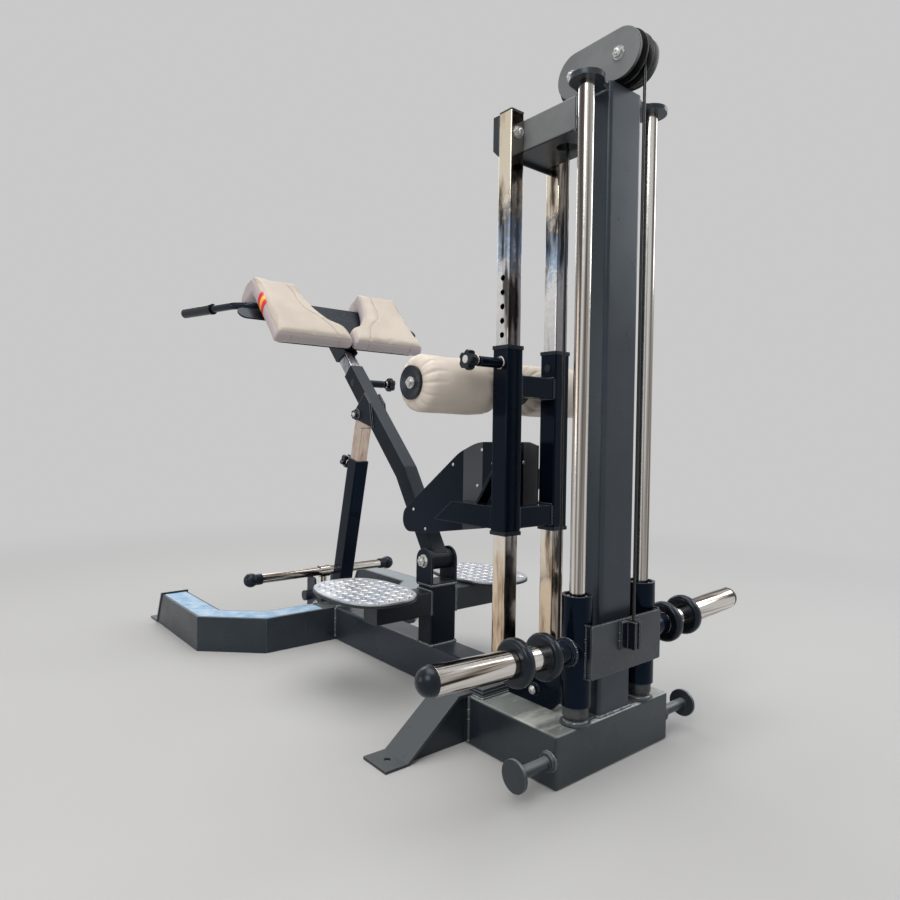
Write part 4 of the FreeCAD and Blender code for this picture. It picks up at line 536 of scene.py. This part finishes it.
def makeObject(name, verts, faces):
    data = bpy.data.meshes.new(name)
    data.from_pydata([tuple(v) for v in verts], [], faces)
    data.update()
    piece = bpy.data.objects.new(name, data)
    bpy.context.scene.collection.objects.link(piece)
    return piece


def dress(piece, finish, body, smoothAngle):
    piece.data.materials.append(materials[finish])
    piece.data.shade_smooth()
    if smoothAngle:
        piece.data.set_sharp_from_angle(angle=math.radians(smoothAngle))
    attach(piece, body)
    return piece


def addPiece(name, parts, finish, body, smoothAngle):
    # one object from several loose parts
    verts, faces = [], []
    for partVerts, partFaces in parts:
        start = len(verts)
        verts.extend(partVerts)
        faces.extend(tuple(i + start for i in face) for face in partFaces)
    return dress(makeObject(name, verts, faces), finish, body, smoothAngle)


def around(centre, side, top, radius, count):
    turns = [2 * math.pi * k / count for k in range(count)]
    return [centre + (side * math.cos(t) + top * math.sin(t)) * radius for t in turns]


def ringPoints(centre, normal, radius, count):
    normal = normal.normalized()
    side = normal.orthogonal().normalized()
    return around(centre, side, normal.cross(side), radius, count)


def ringFaces(count, sides, closed=False):
    # the skin over a row of rings; closed joins the last ring to the first
    faces = []
    for i in range(count if closed else count - 1):
        here, there = i * sides, (i + 1) % count * sides
        for k in range(sides):
            after = (k + 1) % sides
            faces.append((here + k, here + after, there + after, there + k))
    return faces


def endFaces(count, sides):
    return [tuple(range(sides))[::-1], tuple((count - 1) * sides + k for k in range(sides))]


def sweepRings(points, radiusAt, sides, closed=False):
    # a tube along the points, whose radius may change along the way
    verts = []
    count = len(points)
    lift = Vector((0.13, 0.29, 0.95)).normalized()
    for i, p in enumerate(points):
        after = points[(i + 1) % count] if closed or i < count - 1 else p
        before = points[i - 1] if closed or i else p
        along = (after - before).normalized()
        side = along.cross(lift)
        if side.length < 0.05:
            side = along.cross(Vector((1, 0, 0)))
        side.normalize()
        verts.extend(around(p, side, side.cross(along), radiusAt(i), sides))
    faces = ringFaces(count, sides, closed)
    return verts, faces if closed else faces + endFaces(count, sides)


def stepAlong(points, step, closed=False):
    # evenly spaced points along straight runs
    places = []
    ends = list(points) + ([points[0]] if closed else [])
    for start, end in zip(ends, ends[1:]):
        count = max(1, round((end - start).length / step))
        places.extend(start.lerp(end, i / count) for i in range(count))
    if not closed:
        places.append(ends[-1])
    return places


def middleOf(points):
    return sum(points, Vector()) / len(points)


def corners(points):
    low = Vector(min(p[i] for p in points) for i in range(3))
    high = Vector(max(p[i] for p in points) for i in range(3))
    return low, high


def surfaceOf(data):
    return BVHTree.FromPolygons([v.co for v in data.vertices], [tuple(p.vertices) for p in data.polygons])


def mergedMesh(data):
    # a working copy of a carried-over mesh with its doubled corners merged
    work = bmesh.new()
    work.from_mesh(data)
    bmesh.ops.remove_doubles(work, verts=work.verts, dist=mergeGap)
    return work


# Weld beads

weld = {"radius": 0.004, "ripple": 0.005, "swing": 0.26, "sides": 7}


def weldBead(points, size=1.0, closed=False):
    # a rippled bead; each step of the ripple is one stop of the torch
    dots = stepAlong([Vector(p) for p in points], weld["ripple"] / 2, closed)
    wobble = [random.uniform(0.9, 1.1) for _ in dots]

    def radiusAt(i):
        swell = 1 + weld["swing"] * (1 if i % 2 else -0.4)
        return weld["radius"] * size * swell * wobble[i]

    return sweepRings(dots, radiusAt, weld["sides"], closed)


def rectangle(xs, ys, z):
    return [(xs[0], ys[0], z), (xs[1], ys[0], z), (xs[1], ys[1], z), (xs[0], ys[1], z)]


seams = {"beamFoot": 0.008, "postYs": (-0.24, -0.182), "postTop": 0.252, "outriggerFoot": 0.006,
         "peg": (0.018, 0.05), "pegRing": 0.0172, "cheekXs": (0.024, 0.03), "cheekYs": (0.022, 0.128),
         "footBarX": 0.04, "footBar": (0.179, 0.239)}
rodEar = {"x": 0.1, "y": 0.021, "levels": (1.29, 1.3), "ys": (0.01, 0.062), "footRing": 0.0212,
          "footRise": 0.005}


def frameWelds():
    boxLow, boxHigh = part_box("base_box")
    mastLow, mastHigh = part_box("mast")
    beamLow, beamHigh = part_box("main_beam")
    rear, top = boxLow.y, boxHigh.z
    yield weldBead(rectangle((mastLow.x, mastHigh.x), (mastLow.y, mastHigh.y), top), closed=True)
    # the beam meets the box and the hoop, and the post stands on it
    beamXs, postYs = (beamLow.x, beamHigh.x), seams["postYs"]
    for y in (beamLow.y, beamHigh.y):
        yield weldBead([(beamLow.x, y, seams["beamFoot"]), (beamLow.x, y, top), (beamHigh.x, y, top),
                        (beamHigh.x, y, seams["beamFoot"])])
    yield weldBead(rectangle(beamXs, postYs, top), closed=True)
    yield weldBead(rectangle(beamXs, postYs, seams["postTop"]), 0.8, True)
    # the ears that hold the rods
    for side in (-1, 1):
        x = side * mastHigh.x
        for z in (*rodEar["levels"], top):
            yield weldBead([(x, rear + y, z) for y in rodEar["ys"]], 0.9)
        foot = Vector((side * rodEar["x"], rear + rodEar["y"], top + rodEar["footRise"]))
        yield weldBead(ringPoints(foot, Vector((0, 0, 1)), rodEar["footRing"], 40), 1.05, True)
    # the outriggers' edges and the pegs' roots
    outLow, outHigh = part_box("outriggers")
    for side in (-1, 1):
        x = side * boxHigh.x
        for y in (outLow.y, outHigh.y):
            yield weldBead([(x, y, seams["outriggerFoot"]), (x, y, top)], 0.9)
        root = Vector((x, rear + seams["peg"][0], seams["peg"][1]))
        yield weldBead(ringPoints(root, Vector((1, 0, 0)), seams["pegRing"], 30), 0.75, True)
    # the long bar under the uprights, and the top beam
    barLow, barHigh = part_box("upright_base_bar")
    yield weldBead(rectangle((barLow.x, barHigh.x), (barLow.y, barHigh.y), top), 0.8, True)
    beamLow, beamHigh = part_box("top_beam")
    yield weldBead([(way * beamHigh.x, beamLow.y, beamLow.z) for way in (-1, 1)], 0.9)
    for side in (-1, 1):
        yield weldBead([(side * mastHigh.x, beamLow.y, z) for z in (beamLow.z, beamHigh.z)], 0.9)
    # the cheeks that hold the top pulleys
    for side in (-1, 1):
        for x in seams["cheekXs"]:
            yield weldBead([(side * x, rear + y, mastHigh.z) for y in seams["cheekYs"]], 0.6)
    # the foot bar on the post
    for side in (-1, 1):
        x = side * seams["footBarX"]
        for y in postYs:
            yield weldBead([(x, y, z) for z in seams["footBar"]], 0.8)
        yield weldBead([(x, y, seams["footBar"][1]) for y in postYs], 0.8)


carriageBits = {"plateRear": -0.022, "plateGaps": (0.004, -0.027), "sleeveGap": -0.028, "rootX": 0.0275,
                "rootHeight": 0.2392, "rootRing": 0.0245, "clampXs": (-0.026, -0.0035, 0.0035, 0.026),
                "clamp": (0.235, 0.287)}


def weightWelds():
    # where the plate, the cable clamp and the horns' roots meet the sleeves
    plateLow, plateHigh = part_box("carriage_plate")
    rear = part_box("base_box")[0].y
    rodY, plateRear = rear + rodEar["y"], rear + carriageBits["plateRear"]
    gaps = carriageBits["plateGaps"]
    for side in (-1, 1):
        x = side * plateHigh.x
        for z in (plateLow.z, plateHigh.z):
            yield weldBead([(x, plateRear + gaps[0], z), (x, rodY + gaps[1], z)], 0.7)
        sleeveY = rodY + carriageBits["sleeveGap"]
        yield weldBead([(x, sleeveY, plateLow.z), (x, sleeveY, plateHigh.z)], 0.9)
        root = Vector((side * (rodEar["x"] + carriageBits["rootX"]), rodY, carriageBits["rootHeight"]))
        yield weldBead(ringPoints(root, Vector((1, 0, 0)), carriageBits["rootRing"], 40), 0.9, True)
    for x in carriageBits["clampXs"]:
        yield weldBead([(x, plateRear, z) for z in carriageBits["clamp"]], 0.9)


slider = {"x": 0.0745, "side": 0.046, "bars": (0.288, 0.005), "barHalf": 0.019, "barHigh": 0.046,
          "seams": (0.004, 0.052), "seamEnd": 0.003}


def rollerWelds():
    # where the cross bars and the lower bar meet the sleeves
    sleeveLow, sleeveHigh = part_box("roller_sleeves")
    half = slider["side"] / 2
    middleY = (sleeveLow.y + sleeveHigh.y) / 2
    rear, front = middleY - slider["barHalf"], middleY + slider["barHalf"]
    for side in (-1, 1):
        x = side * (slider["x"] - half)
        for rise in slider["bars"]:
            low = sleeveLow.z + rise
            high = low + slider["barHigh"]
            yield weldBead([(x, rear, low), (x, front, low), (x, front, high), (x, rear, high)], 0.75, True)
        xs = (slider["x"] - half + slider["seamEnd"], slider["x"] + half - slider["seamEnd"])
        for rise in slider["seams"]:
            yield weldBead([(side * x, sleeveHigh.y, sleeveLow.z + rise) for x in xs], 0.7)


# Hip pads: millimetres across, up the pad and off its face

padShape = {
    "origin": (0, 0.1938, 0.91925), "half": 262, "notch": 104, "edgeInset": 7.0,
    "shrink": 0.0012, "voxel": 0.0052, "pressure": 4.2, "frames": 20, "cap": 0.0045,
    "throat": 50, "hollow": (25.0, 0.35), "hollowRise": 46, "hollowEase": (205, 80), "hollowFade": 110,
    "curve": [(158, 268), (153, 240), (145, 203), (143, 168), (130, 126), (94, 92), (70, 56), (56, 14)],
    "outer": [(7, -5), (60, -4), (140, -4), (220, -4), (258, -8), (275, -26), (279, -56), (277, -92)],
    "inner": [(10, 7), (9, 36), (16, 58), (34, 80), (60, 105), (82, 134), (98, 165), (108, 210), (111, 258)],
    "front": [10, 70, 140, 200, 255],
    "boxing": [52, 210], "boxingDepths": (-6, -16, -26, -36, -44),
    "seamWidth": 4.2, "seamDepth": 2.6, "seamStep": 2.0,
    "seamShares": {"curve": 1.0, "outer": 0.45, "front": 0.45, "inner": 0.45, "downOne": 0.35, "downTwo": 0.35},
    "thread": 0.00045, "threadStep": 2.5, "stitchShift": 3.2, "stitch": (0.0003, 0.00055, 0.0003),
}


def padPoint(x, s, n):
    # a place in metres
    return Vector(padShape["origin"]) + Vector((x, 0, 0)) * mm + (upPad * s + offPad * n) * mm


def smoothCurve(points, steps=8):
    # a soft curve through given points
    places = []
    for i in range(len(points) - 1):
        p0, p1 = points[max(i - 1, 0)], points[i]
        p2, p3 = points[i + 1], points[min(i + 2, len(points) - 1)]
        for k in range(steps):
            t = k / steps
            places.append(0.5 * ((2 * p1) + (p2 - p0) * t + (2 * p0 - 5 * p1 + 4 * p2 - p3) * t * t
                                 + (3 * p1 - p0 - 3 * p2 + p3) * t * t * t))
    places.append(points[-1])
    return places


def applyModifiers(piece):
    graph = bpy.context.evaluated_depsgraph_get()
    data = bpy.data.meshes.new_from_object(piece.evaluated_get(graph))
    old = piece.data
    piece.modifiers.clear()
    piece.data = data
    bpy.data.meshes.remove(old)


def evenSkin(pad):
    # draws the skin in a little, so that it swells back to size, then makes it even
    work = mergedMesh(pad.data)
    work.normal_update()
    for vertex in work.verts:
        vertex.co -= vertex.normal * padShape["shrink"]
    bmesh.ops.remove_doubles(work, verts=work.verts, dist=mergeGap)
    work.to_mesh(pad.data)
    work.free()
    modifier = pad.modifiers.new("skin", "REMESH")
    modifier.mode = "VOXEL"
    modifier.voxel_size = padShape["voxel"]
    applyModifiers(pad)


def puffUp(piece):
    # a short cloth run with air inside; no point moves further than the cap
    frames, cap = padShape["frames"], padShape["cap"]
    modifier = piece.modifiers.new("puff", "CLOTH")
    settings = modifier.settings
    settings.use_pressure = True
    settings.uniform_pressure_force = padShape["pressure"]
    settings.effector_weights.gravity = 0
    settings.quality = 4
    settings.mass = 0.3
    settings.tension_stiffness = 22
    settings.compression_stiffness = 22
    settings.bending_stiffness = 1.2
    modifier.collision_settings.use_self_collision = False
    modifier.collision_settings.use_collision = False
    modifier.point_cache.frame_start = 1
    modifier.point_cache.frame_end = frames
    scene = bpy.context.scene
    for step in range(1, frames + 1):
        scene.frame_set(step)
    graph = bpy.context.evaluated_depsgraph_get()
    moved = bpy.data.meshes.new_from_object(piece.evaluated_get(graph))
    piece.modifiers.remove(modifier)
    scene.frame_set(1)
    for vertex, puffed in zip(piece.data.vertices, moved.vertices):
        step = puffed.co - vertex.co
        if step.length > cap:
            step *= cap / step.length
        vertex.co += step
    bpy.data.meshes.remove(moved)
    piece.data.update()


def smoothSkin(piece, repeat):
    modifier = piece.modifiers.new("smooth", "SMOOTH")
    modifier.factor = 0.5
    modifier.iterations = repeat
    applyModifiers(piece)


def seamPaths(side):
    # the sewn curve, the seams round the face and those down the front edge
    half, inset = padShape["half"] - padShape["edgeInset"], padShape["edgeInset"]
    soft = {
        "curve": [(x, s, 0) for x, s in padShape["curve"]],
        "outer": [(half, s, n) for s, n in padShape["outer"]],
        "front": [(x, inset, -5) for x in padShape["front"]],
        "inner": [(x, s, -5) for x, s in padShape["inner"]],
    }
    paths = {name: smoothCurve([Vector((side * x, s, n)) for x, s, n in dots]) for name, dots in soft.items()}
    for name, x in zip(("downOne", "downTwo"), padShape["boxing"]):
        paths[name] = [Vector((side * x, 0, n)) for n in padShape["boxingDepths"]]
    return paths


def pressSeams(piece, paths):
    # presses a soft channel along each seam
    width, depth = padShape["seamWidth"], padShape["seamDepth"]
    dots = []
    for name, path in paths.items():
        share = padShape["seamShares"][name]
        for start, end in zip(path, path[1:]):
            count = max(1, int((end - start).length / padShape["seamStep"]))
            dots.extend((padPoint(*start.lerp(end, i / count)), share) for i in range(count))
    tree = KDTree(len(dots))
    for i, (place, share) in enumerate(dots):
        tree.insert(place, i)
    tree.balance()
    normals = [v.normal.copy() for v in piece.data.vertices]
    for vertex, normal in zip(piece.data.vertices, normals):
        place, index, gap = tree.find(vertex.co)
        gap /= mm
        if gap < 4 * width:
            vertex.co -= normal * depth * dots[index][1] * mm * math.exp(-((gap / width) ** 2))
    piece.data.update()


def seamThreads(label, piece, paths):
    # the dark line of each seam but the inner one, and small stitches beside the sewn curve
    surface = surfaceOf(piece.data)
    lines, stitches = [], []
    for name, path in paths.items():
        if name == "inner":
            continue
        dots = [surface.find_nearest(padPoint(*p))[0] for p in stepAlong(path, padShape["threadStep"])]
        dots = [d for i, d in enumerate(dots) if i == 0 or (d - dots[i - 1]).length > 0.0006]
        lines.append(sweepRings(dots, lambda i: padShape["thread"], 5))
        if name != "curve":
            continue
        for shift in (-padShape["stitchShift"], padShape["stitchShift"]):
            for i in range(2, len(dots) - 2, 2):
                along = (dots[i + 1] - dots[i - 1]).normalized()
                across = along.cross(offPad).normalized()
                place = surface.find_nearest(dots[i] + across * shift * mm)[0]
                span = [place - along * 1.5 * mm, place + along * 0.1 * mm, place + along * 1.6 * mm]
                stitches.append(sweepRings(span, lambda k: padShape["stitch"][k], 5))
    addPiece(label + "Seams", lines, "seamThread", "pad_head", 60)
    addPiece(label + "Stitches", stitches, "stitchThread", "pad_head", 60)


def makePad(side, label, node):
    pad = bpy.data.objects.new(label, cadNodes[node].data.copy())
    pad.data.materials.clear()
    bpy.context.scene.collection.objects.link(pad)
    evenSkin(pad)
    smoothSkin(pad, 3)
    hollowEdge(pad, side)
    puffUp(pad)
    smoothSkin(pad, 2)
    modifier = pad.modifiers.new("finer", "SUBSURF")
    modifier.levels = 1
    modifier.render_levels = 1
    applyModifiers(pad)
    paths = seamPaths(side)
    pressSeams(pad, paths)
    dress(pad, "padLeather", "pad_head", 0)
    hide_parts(node)
    seamThreads(label, pad, paths)
    return pad


def hollowEdge(pad, side):
    # draws the inner edge of a pad outwards in its middle, where the two pads part
    deep, ease = padShape["hollow"]
    easeStart, easeLength = padShape["hollowEase"]
    for vertex in pad.data.vertices:
        away = (vertex.co - Vector(padShape["origin"])) / mm
        s = away.dot(upPad)
        rise = deep * smoothStep((s - padShape["throat"]) / padShape["hollowRise"])
        rise *= 1 - ease * smoothStep((s - easeStart) / easeLength)
        fade = 1 - smoothStep((abs(away.x) - padShape["notch"]) / padShape["hollowFade"])
        vertex.co.x += side * rise * fade * mm


def smoothStep(share):
    share = min(1, max(0, share))
    return share * share * (3 - 2 * share)


band = {"corners": [(190, -4), (137, -4), (118, -44), (168, -44)], "rows": 10, "steps": 8, "lift": 0.0005,
        "thick": 0.0006,
        "stripes": [("redTape", 0.0, 0.34), ("yellowTape", 0.34, 0.66), ("redTape", 0.66, 1.0)]}


def makeBand(pad):
    # the sewn-on ribbon on the outer side of the left pad
    surface = surfaceOf(pad.data)
    topRear, topFront, lowFront, lowRear = [Vector((0, s, n)) for s, n in band["corners"]]
    wide = band["steps"] + 1
    for index, (finish, start, end) in enumerate(band["stripes"]):
        verts, faces = [], []
        for row in range(band["rows"] + 1):
            down = row / band["rows"]
            rearEdge, frontEdge = topRear.lerp(lowRear, down), topFront.lerp(lowFront, down)
            for step in range(wide):
                share = start + (end - start) * step / band["steps"]
                spot = rearEdge.lerp(frontEdge, share)
                probe = padPoint(-padShape["half"] - 30, spot.y, spot.z)
                place, normal, found, gap = surface.ray_cast(probe, Vector((1, 0, 0)))
                if place is None:
                    probe = padPoint(-padShape["half"], spot.y, spot.z)
                    place, normal, found, gap = surface.find_nearest(probe)
                verts.append(place + normal * band["lift"])
        for row in range(band["rows"]):
            for a in range(row * wide, row * wide + band["steps"]):
                faces.append((a, a + 1, a + 1 + wide, a + wide))
        piece = makeObject("padBand%d" % (index + 1), verts, faces)
        modifier = piece.modifiers.new("thick", "SOLIDIFY")
        modifier.thickness = band["thick"]
        modifier.offset = 0
        applyModifiers(piece)
        dress(piece, finish, "pad_head", 0)


# Leg rollers

roller = {"radius": 0.06, "inner": 0.05, "outer": 0.262, "capRadius": 0.0355, "endRound": 0.024,
          "pleats": 14, "pleatDepth": 0.0076, "pleatWidth": 0.062, "twist": 0.1, "sides": 156, "rings": 46,
          "endLift": 0.0005, "rise": 0.0012, "crown": 0.00056, "sharp": 70}


def makeRoller(label, node):
    low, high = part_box(node)
    centre = (low + high) / 2
    sides, pleats = roller["sides"], roller["pleats"]
    drift = [random.uniform(-0.12, 0.12) for _ in range(pleats)]
    size = [random.uniform(0.55, 1.15) for _ in range(pleats)]
    profile = rollerProfile((roller["outer"] - roller["inner"]) / 2)
    verts = []
    for u, radius, pull in profile:
        for k in range(sides):
            turn = 2 * math.pi * k / sides
            depth = 0
            for index in range(pleats):
                away = turn - 2 * math.pi * (index + drift[index]) / pleats - pull * roller["twist"]
                gap = math.atan2(math.sin(away), math.cos(away))
                depth = max(depth, size[index] * math.exp(-((gap / roller["pleatWidth"]) ** 2)))
            sag = 0.0009 * math.sin(3 * turn + u * 25) + 0.0007 * math.sin(2 * turn - u * 41)
            reach = radius - roller["pleatDepth"] * pull * depth + sag * (1 - pull)
            verts.append(centre + Vector((u, reach * math.cos(turn), reach * math.sin(turn))))
    # the rings run the other way round than in a sweep, so every face is turned over
    faces = [(a, d, c, b) for a, b, c, d in ringFaces(len(profile), sides)]
    faces.extend(face[::-1] for face in endFaces(len(profile), sides))
    piece = makeObject(label, verts, faces)
    dress(piece, "rollerLeather", node, roller["sharp"])
    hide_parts(node)


def rollerProfile(half):
    # place along the roller, radius, and how much the pleats pull there
    full, small, bend = roller["radius"], roller["capRadius"] - 0.002, roller["endRound"]
    left = []
    for step in range(9):
        share = step / 8
        u = -half + roller["endLift"] * (1 - share)
        left.append((u, small * 0.55 + (small - small * 0.55) * share, 0.5 * share))
    for step in range(1, 13):
        turn = math.pi / 2 * step / 12
        radius = small + (full - small) * math.sin(turn)
        pull = (1 - 0.25 * step / 12) * math.cos(turn * 0.8)
        left.append((-half + bend * (1 - math.cos(turn)), radius, pull))
    for step in range(1, 6):
        left.append((-half + bend + 0.006 * step, full + roller["rise"] * step / 5, 0.28 * (1 - step / 5)))
    right = [(-u, radius, pull) for u, radius, pull in reversed(left)]
    start, end = left[-1][0], right[0][0]
    middle = []
    for step in range(1, roller["rings"] - 1):
        share = step / (roller["rings"] - 1)
        crown = roller["crown"] * math.sin(math.pi * share)
        middle.append((start + (end - start) * share, full + roller["rise"] - crown, 0))
    return left + middle + right


# Cables that lengthen and shorten

cable = {"radius": 0.003, "rings": 60, "sides": 10}


def makeCable(name, node):
    low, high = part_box(node)
    x, y = (low.x + high.x) / 2, (low.y + high.y) / 2
    points = [Vector((x, y, low.z + (high.z - low.z) * i / cable["rings"])) for i in range(cable["rings"] + 1)]
    verts, faces = sweepRings(points, lambda i: cable["radius"], cable["sides"])
    piece = makeObject(name, verts, faces)
    piece.data.materials.append(materials["cableCoat"])
    piece.data.shade_smooth()
    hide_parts(node)
    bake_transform(piece)


# Foot plate tread

tread = {"centre": 0.19, "pitch": 0.0285, "length": 0.0122, "width": 0.0043, "height": 0.0014,
         "margin": 0.006, "power": 2.5, "sunk": -0.0003, "sides": 10}


def makeTreadLugs():
    # raised lens shaped lugs, turned by a quarter from one to the next
    low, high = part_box("foot_treads")
    middleY = (low.y + high.y) / 2
    reachX = high.x - tread["centre"] - tread["margin"]
    reachY = (high.y - low.y) / 2 - tread["margin"]
    count = int(reachY / tread["pitch"] * 2) + 2
    lugs = []
    for side in (-1, 1):
        for i in range(-count, count + 1):
            for j in range(-count, count + 1):
                x, y = tread["pitch"] * (i + j) / 2, tread["pitch"] * (i - j) / 2
                if abs(x / reachX) ** tread["power"] + abs(y / reachY) ** tread["power"] > 1:
                    continue
                turn = math.radians(45 if (i + j) % 2 else -45)
                lugs.append(lug(side * tread["centre"] + x, middleY + y, high.z, turn))
    addPiece("treadLugs", lugs, "treadPlate", "frame", 50)


def lug(x, y, z, turn):
    height, sides = tread["height"], tread["sides"]
    verts = []
    for share, rise in ((1.0, tread["sunk"]), (0.78, height * 0.75), (0.45, height)):
        for k in range(sides):
            a = 2 * math.pi * k / sides
            u = tread["length"] * math.cos(a) * share
            v = tread["width"] * math.sin(a) * (0.65 + 0.35 * share) * share
            verts.append(Vector((x + u * math.cos(turn) - v * math.sin(turn),
                                 y + u * math.sin(turn) + v * math.cos(turn), z + rise)))
    return verts, ringFaces(3, sides) + endFaces(3, sides)


# Small bright things

studs = {"radius": 0.0042, "height": 0.0022, "sheet": 0.005,
         "spots": [(-0.433, 0.604), (-0.331, 0.566), (-0.173, 0.443), (-0.224, 0.398), (-0.419, 0.521),
                   (-0.47, 0.575)]}


def domeAlong(centre, normal, radius, height, sides=16, rings=4):
    # a low round head standing on a face
    out = normal.normalized()
    verts = []
    for ring in range(rings):
        turn = math.pi / 2 * ring / rings
        edge = ringPoints(centre, normal, radius * math.cos(turn), sides)
        verts.extend(p + out * (height * math.sin(turn)) for p in edge)
    verts.append(centre + out * height)
    faces = ringFaces(rings, sides)
    last = (rings - 1) * sides
    faces.extend((last + k, last + (k + 1) % sides, len(verts) - 1) for k in range(sides))
    faces.append(tuple(range(sides))[::-1])
    return verts, faces


def makeStuds():
    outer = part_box("guard_plates")[1].x
    parts = []
    for side in (-1, 1):
        for y, z in studs["spots"]:
            for face, way in ((outer, side), (outer - studs["sheet"], -side)):
                spot = Vector((side * face, y, z))
                parts.append(domeAlong(spot, Vector((way, 0, 0)), studs["radius"], studs["height"]))
    addPiece("guardStuds", parts, "zincPlate", "roller_carriage", 40)


knob = {"disc": (0.0085, 0.0012), "ring": (0.0112, 0.0017), "ringBack": 0.0272, "faceDepth": 0.0005,
        "rootRing": (0.0118, 0.0024), "rootGap": 0.0008, "plug": (0.0118, 0.0018), "plugX": -0.022}


def addRing(name, centre, normal, radius, thick, body):
    ring = sweepRings(ringPoints(centre, normal, radius, 36), lambda i: thick, 8, True)
    addPiece(name, [ring], "barChrome", body, 60)


def pinTrim(label, node, axis):
    # a pale disc in the knob's face, and a bright ring at its neck
    axis = Vector(axis).normalized()
    verts = [v.co for v in cadNodes[node].data.vertices]
    reach = max(v.dot(axis) for v in verts)
    centre = middleOf([v for v in verts if v.dot(axis) > reach - knob["faceDepth"]])
    disc = domeAlong(centre, axis, *knob["disc"], 24)
    addPiece(label + "Disc", [disc], "whitePlastic", node, 40)
    addRing(label + "Ring", centre - axis * knob["ringBack"], axis, *knob["ring"], node)
    return centre


def makePinTrims():
    centre = pinTrim("selector", "selector_pin", (-1, 0, 0))
    root = Vector((-(slider["x"] + slider["side"] / 2 + knob["rootGap"]), centre.y, centre.z))
    addRing("selectorRootRing", root, Vector((1, 0, 0)), *knob["rootRing"], "roller_carriage")
    pinTrim("armPin", "arm_pin", (1, 0, 0))
    pinTrim("strutPin", "strut_pin", joints["strut_pin_pull"]["axis"])


def makeArmPlug():
    # the round plastic plug in the arm's left side, across from its pin
    pin = joints["arm_pin_pull"]["pos_m"]
    plug = domeAlong(Vector((knob["plugX"], pin[1], pin[2])), Vector((-1, 0, 0)), *knob["plug"], 28)
    addPiece("armPlug", [plug], "blackPlastic", "pad_arm", 40)


# Bolt heads

boltLook = {"nodes": ("upright_bolts", "pulley_axles", "pivot_bolts"), "rim": 0.0006, "heads": 0.62,
            "dome": 0.003, "socket": 0.34, "socketHeight": 0.0034, "guardRadius": 0.0088,
            "guardDome": 0.0048, "guardSocket": 0.0054, "guardPlace": (-0.649, 0.129), "far": 0.3}


def looseParts(data):
    # the separate solids of a carried-over mesh, as lists of points
    work = mergedMesh(data)
    seen, parts = set(), []
    for vertex in work.verts:
        if vertex in seen:
            continue
        stack, part = [vertex], []
        seen.add(vertex)
        while stack:
            point = stack.pop()
            part.append(point.co.copy())
            for edge in point.link_edges:
                other = edge.other_vert(point)
                if other not in seen:
                    seen.add(other)
                    stack.append(other)
        parts.append(part)
    work.free()
    return parts


def makeBoltHeads():
    # a low dome on both ends of each bolt, with a black hexagon on it as the painted shade of its hex socket
    domes, socketShades = [], []
    share = boltLook["socket"]
    for node in boltLook["nodes"]:
        for part in looseParts(cadNodes[node].data):
            low, high = corners(part)
            span = high - low
            axis = max(range(3), key=lambda i: span[i])
            for way in (-1, 1):
                end = high[axis] if way > 0 else low[axis]
                rim = [p for p in part if abs(p[axis] - end) < boltLook["rim"]]
                centre = middleOf(rim)
                centre[axis] = end
                reach = max((p - centre).length for p in rim)
                out = Vector((0, 0, 0))
                out[axis] = way
                domes.append(domeAlong(centre, out, reach * boltLook["heads"], boltLook["dome"], 20))
                # painted shade: a black hexagon where the socket's recess is dark
                socketShades.append(domeAlong(centre, out, reach * share, boltLook["socketHeight"], 6, 2))
    for way in (-1, 1):
        centre, reach = guardBolt(way), boltLook["guardRadius"]
        out = Vector((way, 0, 0))
        domes.append(domeAlong(centre, out, reach, boltLook["guardDome"], 24))
        socketShades.append(domeAlong(centre, out, reach * share, boltLook["guardSocket"], 6, 2))
    addPiece("boltDomes", domes, "zincPlate", "frame", 40)
    addPiece("boltSocketShades", socketShades, "blackPlastic", "frame", 30)


def guardBolt(way):
    # the outer face of the head of the tie bolt through the lower pulley's guard
    surface = surfaceOf(cadNodes["lower_pulley_guard"].data)
    start = Vector((way * boltLook["far"], *boltLook["guardPlace"]))
    return surface.ray_cast(start, Vector((-way, 0, 0)))[0]


strutBolt = {"reach": 0.034, "ahead": 0.22, "rim": 0.0006, "radius": 0.0085, "height": 0.003}


def makeStrutBolt():
    # the bolt through the arm's clevis, which the strut hangs from
    radius, height = strutBolt["radius"], strutBolt["height"]
    verts = [v.co for v in cadNodes["arm_tube"].data.vertices]
    for way, label in ((-1, "Left"), (1, "Right")):
        ends = [v for v in verts if v.x * way > strutBolt["reach"] and v.y < strutBolt["ahead"]]
        edge = max(v.x * way for v in ends)
        centre = middleOf([v for v in ends if v.x * way > edge - strutBolt["rim"]])
        out = Vector((way, 0, 0))
        head = domeAlong(centre, out, radius, height, 6, 2)
        cap = domeAlong(centre, out, radius * 0.55, height * 1.8)
        addPiece("strutBolt" + label, [head, cap], "zincPlate", "pad_arm", 40)


# Everything in order

makeCamera()
makeStudio()
makeFloor()
print("stage ready")
makeMaterials()
finishNodes()
print("finishes on", len(cadNodes), "nodes")
addPiece("weldsOnFrame", frameWelds(), "beadPaint", "frame", 60)
addPiece("weldsOnWeightCarriage", weightWelds(), "blackBead", "weight_carriage", 60)
addPiece("weldsOnRollerCarriage", rollerWelds(), "blackBead", "roller_carriage", 60)
print("weld beads laid")
leftPad = makePad(-1, "hipPadLeft", "hip_pad_left")
makePad(1, "hipPadRight", "hip_pad_right")
makeBand(leftPad)
print("hip pads sewn")
makeRoller("legRollerLeft", "leg_roller_left")
makeRoller("legRollerRight", "leg_roller_right")
print("leg rollers covered")
makeCable("rearCable", "rear_cable")
makeCable("riserCable", "riser_cable")
print("cables strung")
makeTreadLugs()
makeStuds()
makePinTrims()
makeArmPlug()
makeBoltHeads()
makeStrutBolt()
print("small pieces on")
